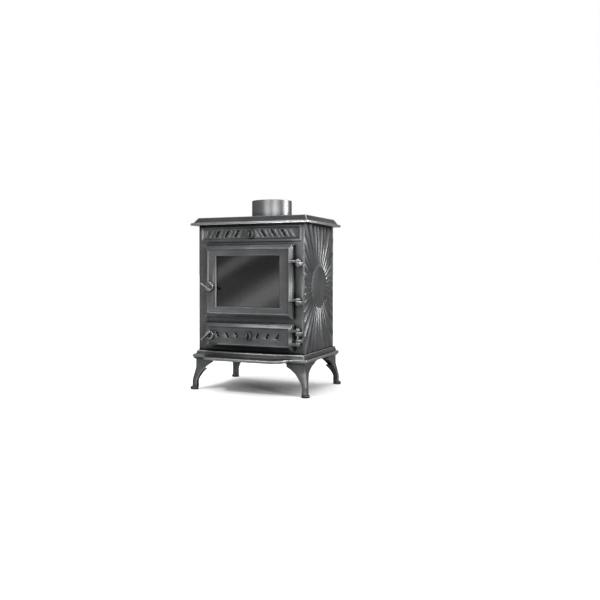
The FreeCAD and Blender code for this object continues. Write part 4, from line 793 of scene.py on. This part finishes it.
def seen_directly(tree):
    """1 for what the camera sees, also in a reflection or through glass, and 0 for bounced light."""
    paths = tree.nodes.new("ShaderNodeLightPath")
    total = paths.outputs["Is Camera Ray"]
    for kind in ("Is Glossy Ray", "Is Transmission Ray"):
        either = tree.nodes.new("ShaderNodeMath")
        either.operation = "MAXIMUM"
        tree.links.new(total, either.inputs[0])
        tree.links.new(paths.outputs[kind], either.inputs[1])
        total = either.outputs["Value"]
    return total


def white_room():
    world = bpy.data.worlds.new("studio")
    world.use_nodes = True
    bpy.context.scene.world = world
    tree = world.node_tree
    background = tree.nodes["Background"]
    background.inputs["Color"].default_value = (1, 1, 1, 1)
    direction = tree.nodes.new("ShaderNodeTexCoord")
    parts = tree.nodes.new("ShaderNodeSeparateXYZ")
    tree.links.new(direction.outputs["Generated"], parts.inputs["Vector"])
    ceiling = tree.nodes.new("ShaderNodeMapRange")
    ceiling.interpolation_type = "SMOOTHSTEP"
    ceiling.inputs["From Min"].default_value = HORIZON_HEIGHT
    ceiling.inputs["To Min"].default_value = HORIZON_LIGHT
    ceiling.inputs["To Max"].default_value = OVERHEAD_LIGHT
    tree.links.new(parts.outputs["Z"], ceiling.inputs["Value"])
    seen = tree.nodes.new("ShaderNodeMix")
    tree.links.new(seen_directly(tree), seen.inputs["Factor"])
    tree.links.new(ceiling.outputs["Result"], seen.inputs["A"])
    seen.inputs["B"].default_value = 1.0
    tree.links.new(seen.outputs["Result"], background.inputs["Strength"])


def pale_floor():
    finish = Finish("floor")
    finish.shader.inputs["Roughness"].default_value = FLOOR_ROUGHNESS
    finish.shader.inputs["Specular IOR Level"].default_value = 0.0
    shade = finish.spread(seen_directly(finish.tree), FLOOR_BOUNCED, FLOOR_SEEN)
    finish.link(shade, finish.shader.inputs["Base Color"])
    mesh = bpy.data.meshes.new("floor")
    corners = [(x * FLOOR_REACH, y * FLOOR_REACH, 0) for x, y in ((-1, -1), (1, -1), (1, 1), (-1, 1))]
    mesh.from_pydata(corners, [], [(0, 1, 2, 3)])
    add_to_scene("floor", mesh, finish.material)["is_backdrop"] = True


white_room()
pale_floor()

# %% [markdown]
# Satin iron is drawn by what it mirrors. The large lamps at the front give the doors their
# even grey, the strips at the right give the side its tone, and the two at the rear right
# stand where the collar and the rays of the sunburst mirror them to the camera. The streaks
# are long thin lamps that lie slanted in the window's reflection. Most lamps light nothing
# matt, because they would wash out the floor's shadow.

# %% Lamps
STOVE = (0, -0.1, 0.4)                   # the middle of the stove, at which most lamps point
STREAK = (-0.92, -2.2, 0.24)
STREAK_TURN = math.radians(-58)
STREAK_LENGTH = 1.0
GLEAMS = (                               # name, place, what it points at, width and height, watts
    ("top left", (-0.8, -1.65, 2.2), STOVE, (0.5, 0.4), 34),
    ("front", (0.0, -2.4, 0.85), STOVE, (1.2, 0.9), 40),
    ("right front", (1.98, -2.35, 0.9), STOVE, (1.3, 1.2), 62),
    ("right front strip", (2.2, -2.2, 0.9), STOVE, (0.3, 1.2), 18),
    ("right strip", (2.5, -1.3, 0.75), STOVE, (0.3, 1.1), 20),
    ("rear right", (2.49, 0.95, 0.5), (0.2, 0, 0.3), (0.5, 0.5), 36),
    ("rear right, higher", (2.38, 1.08, 1.1), (0.2, 0, 0.37), (0.7, 0.55), 84),
)
STREAKS = ((STREAK, 0.1, 1.3), (STREAK, 0.2, 1.0), ((-1.2, -2.2, 0.43), 0.07, 0.6))
LIGHT_MATT_THINGS = ("top left", "right strip")


def lamp(name, place, aim, size, power, turn=0.0):
    """A softbox at place that points at aim and is turned about that line."""
    data = bpy.data.lights.new(name, "AREA")
    data.shape = "RECTANGLE"
    data.size, data.size_y = size
    data.energy = power
    made = bpy.data.objects.new(name, data)
    bpy.context.scene.collection.objects.link(made)
    made.location = place
    made.visible_transmission = False
    made.visible_diffuse = name in LIGHT_MATT_THINGS
    facing = (Vector(aim) - Vector(place)).to_track_quat("-Z", "Y").to_matrix().to_4x4()
    made.rotation_euler = (facing @ Matrix.Rotation(turn, 4, "Z")).to_euler()


for gleam in GLEAMS:
    lamp(*gleam)
for place, width, power in STREAKS:
    lamp("streak", place, STOVE, (width, STREAK_LENGTH), power, STREAK_TURN)
print("lamps:", len(bpy.data.lights))

# %% [markdown]
# Last, the box that the finished model fills is measured, without the floor.

# %% Box of the finished model
low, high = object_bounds()
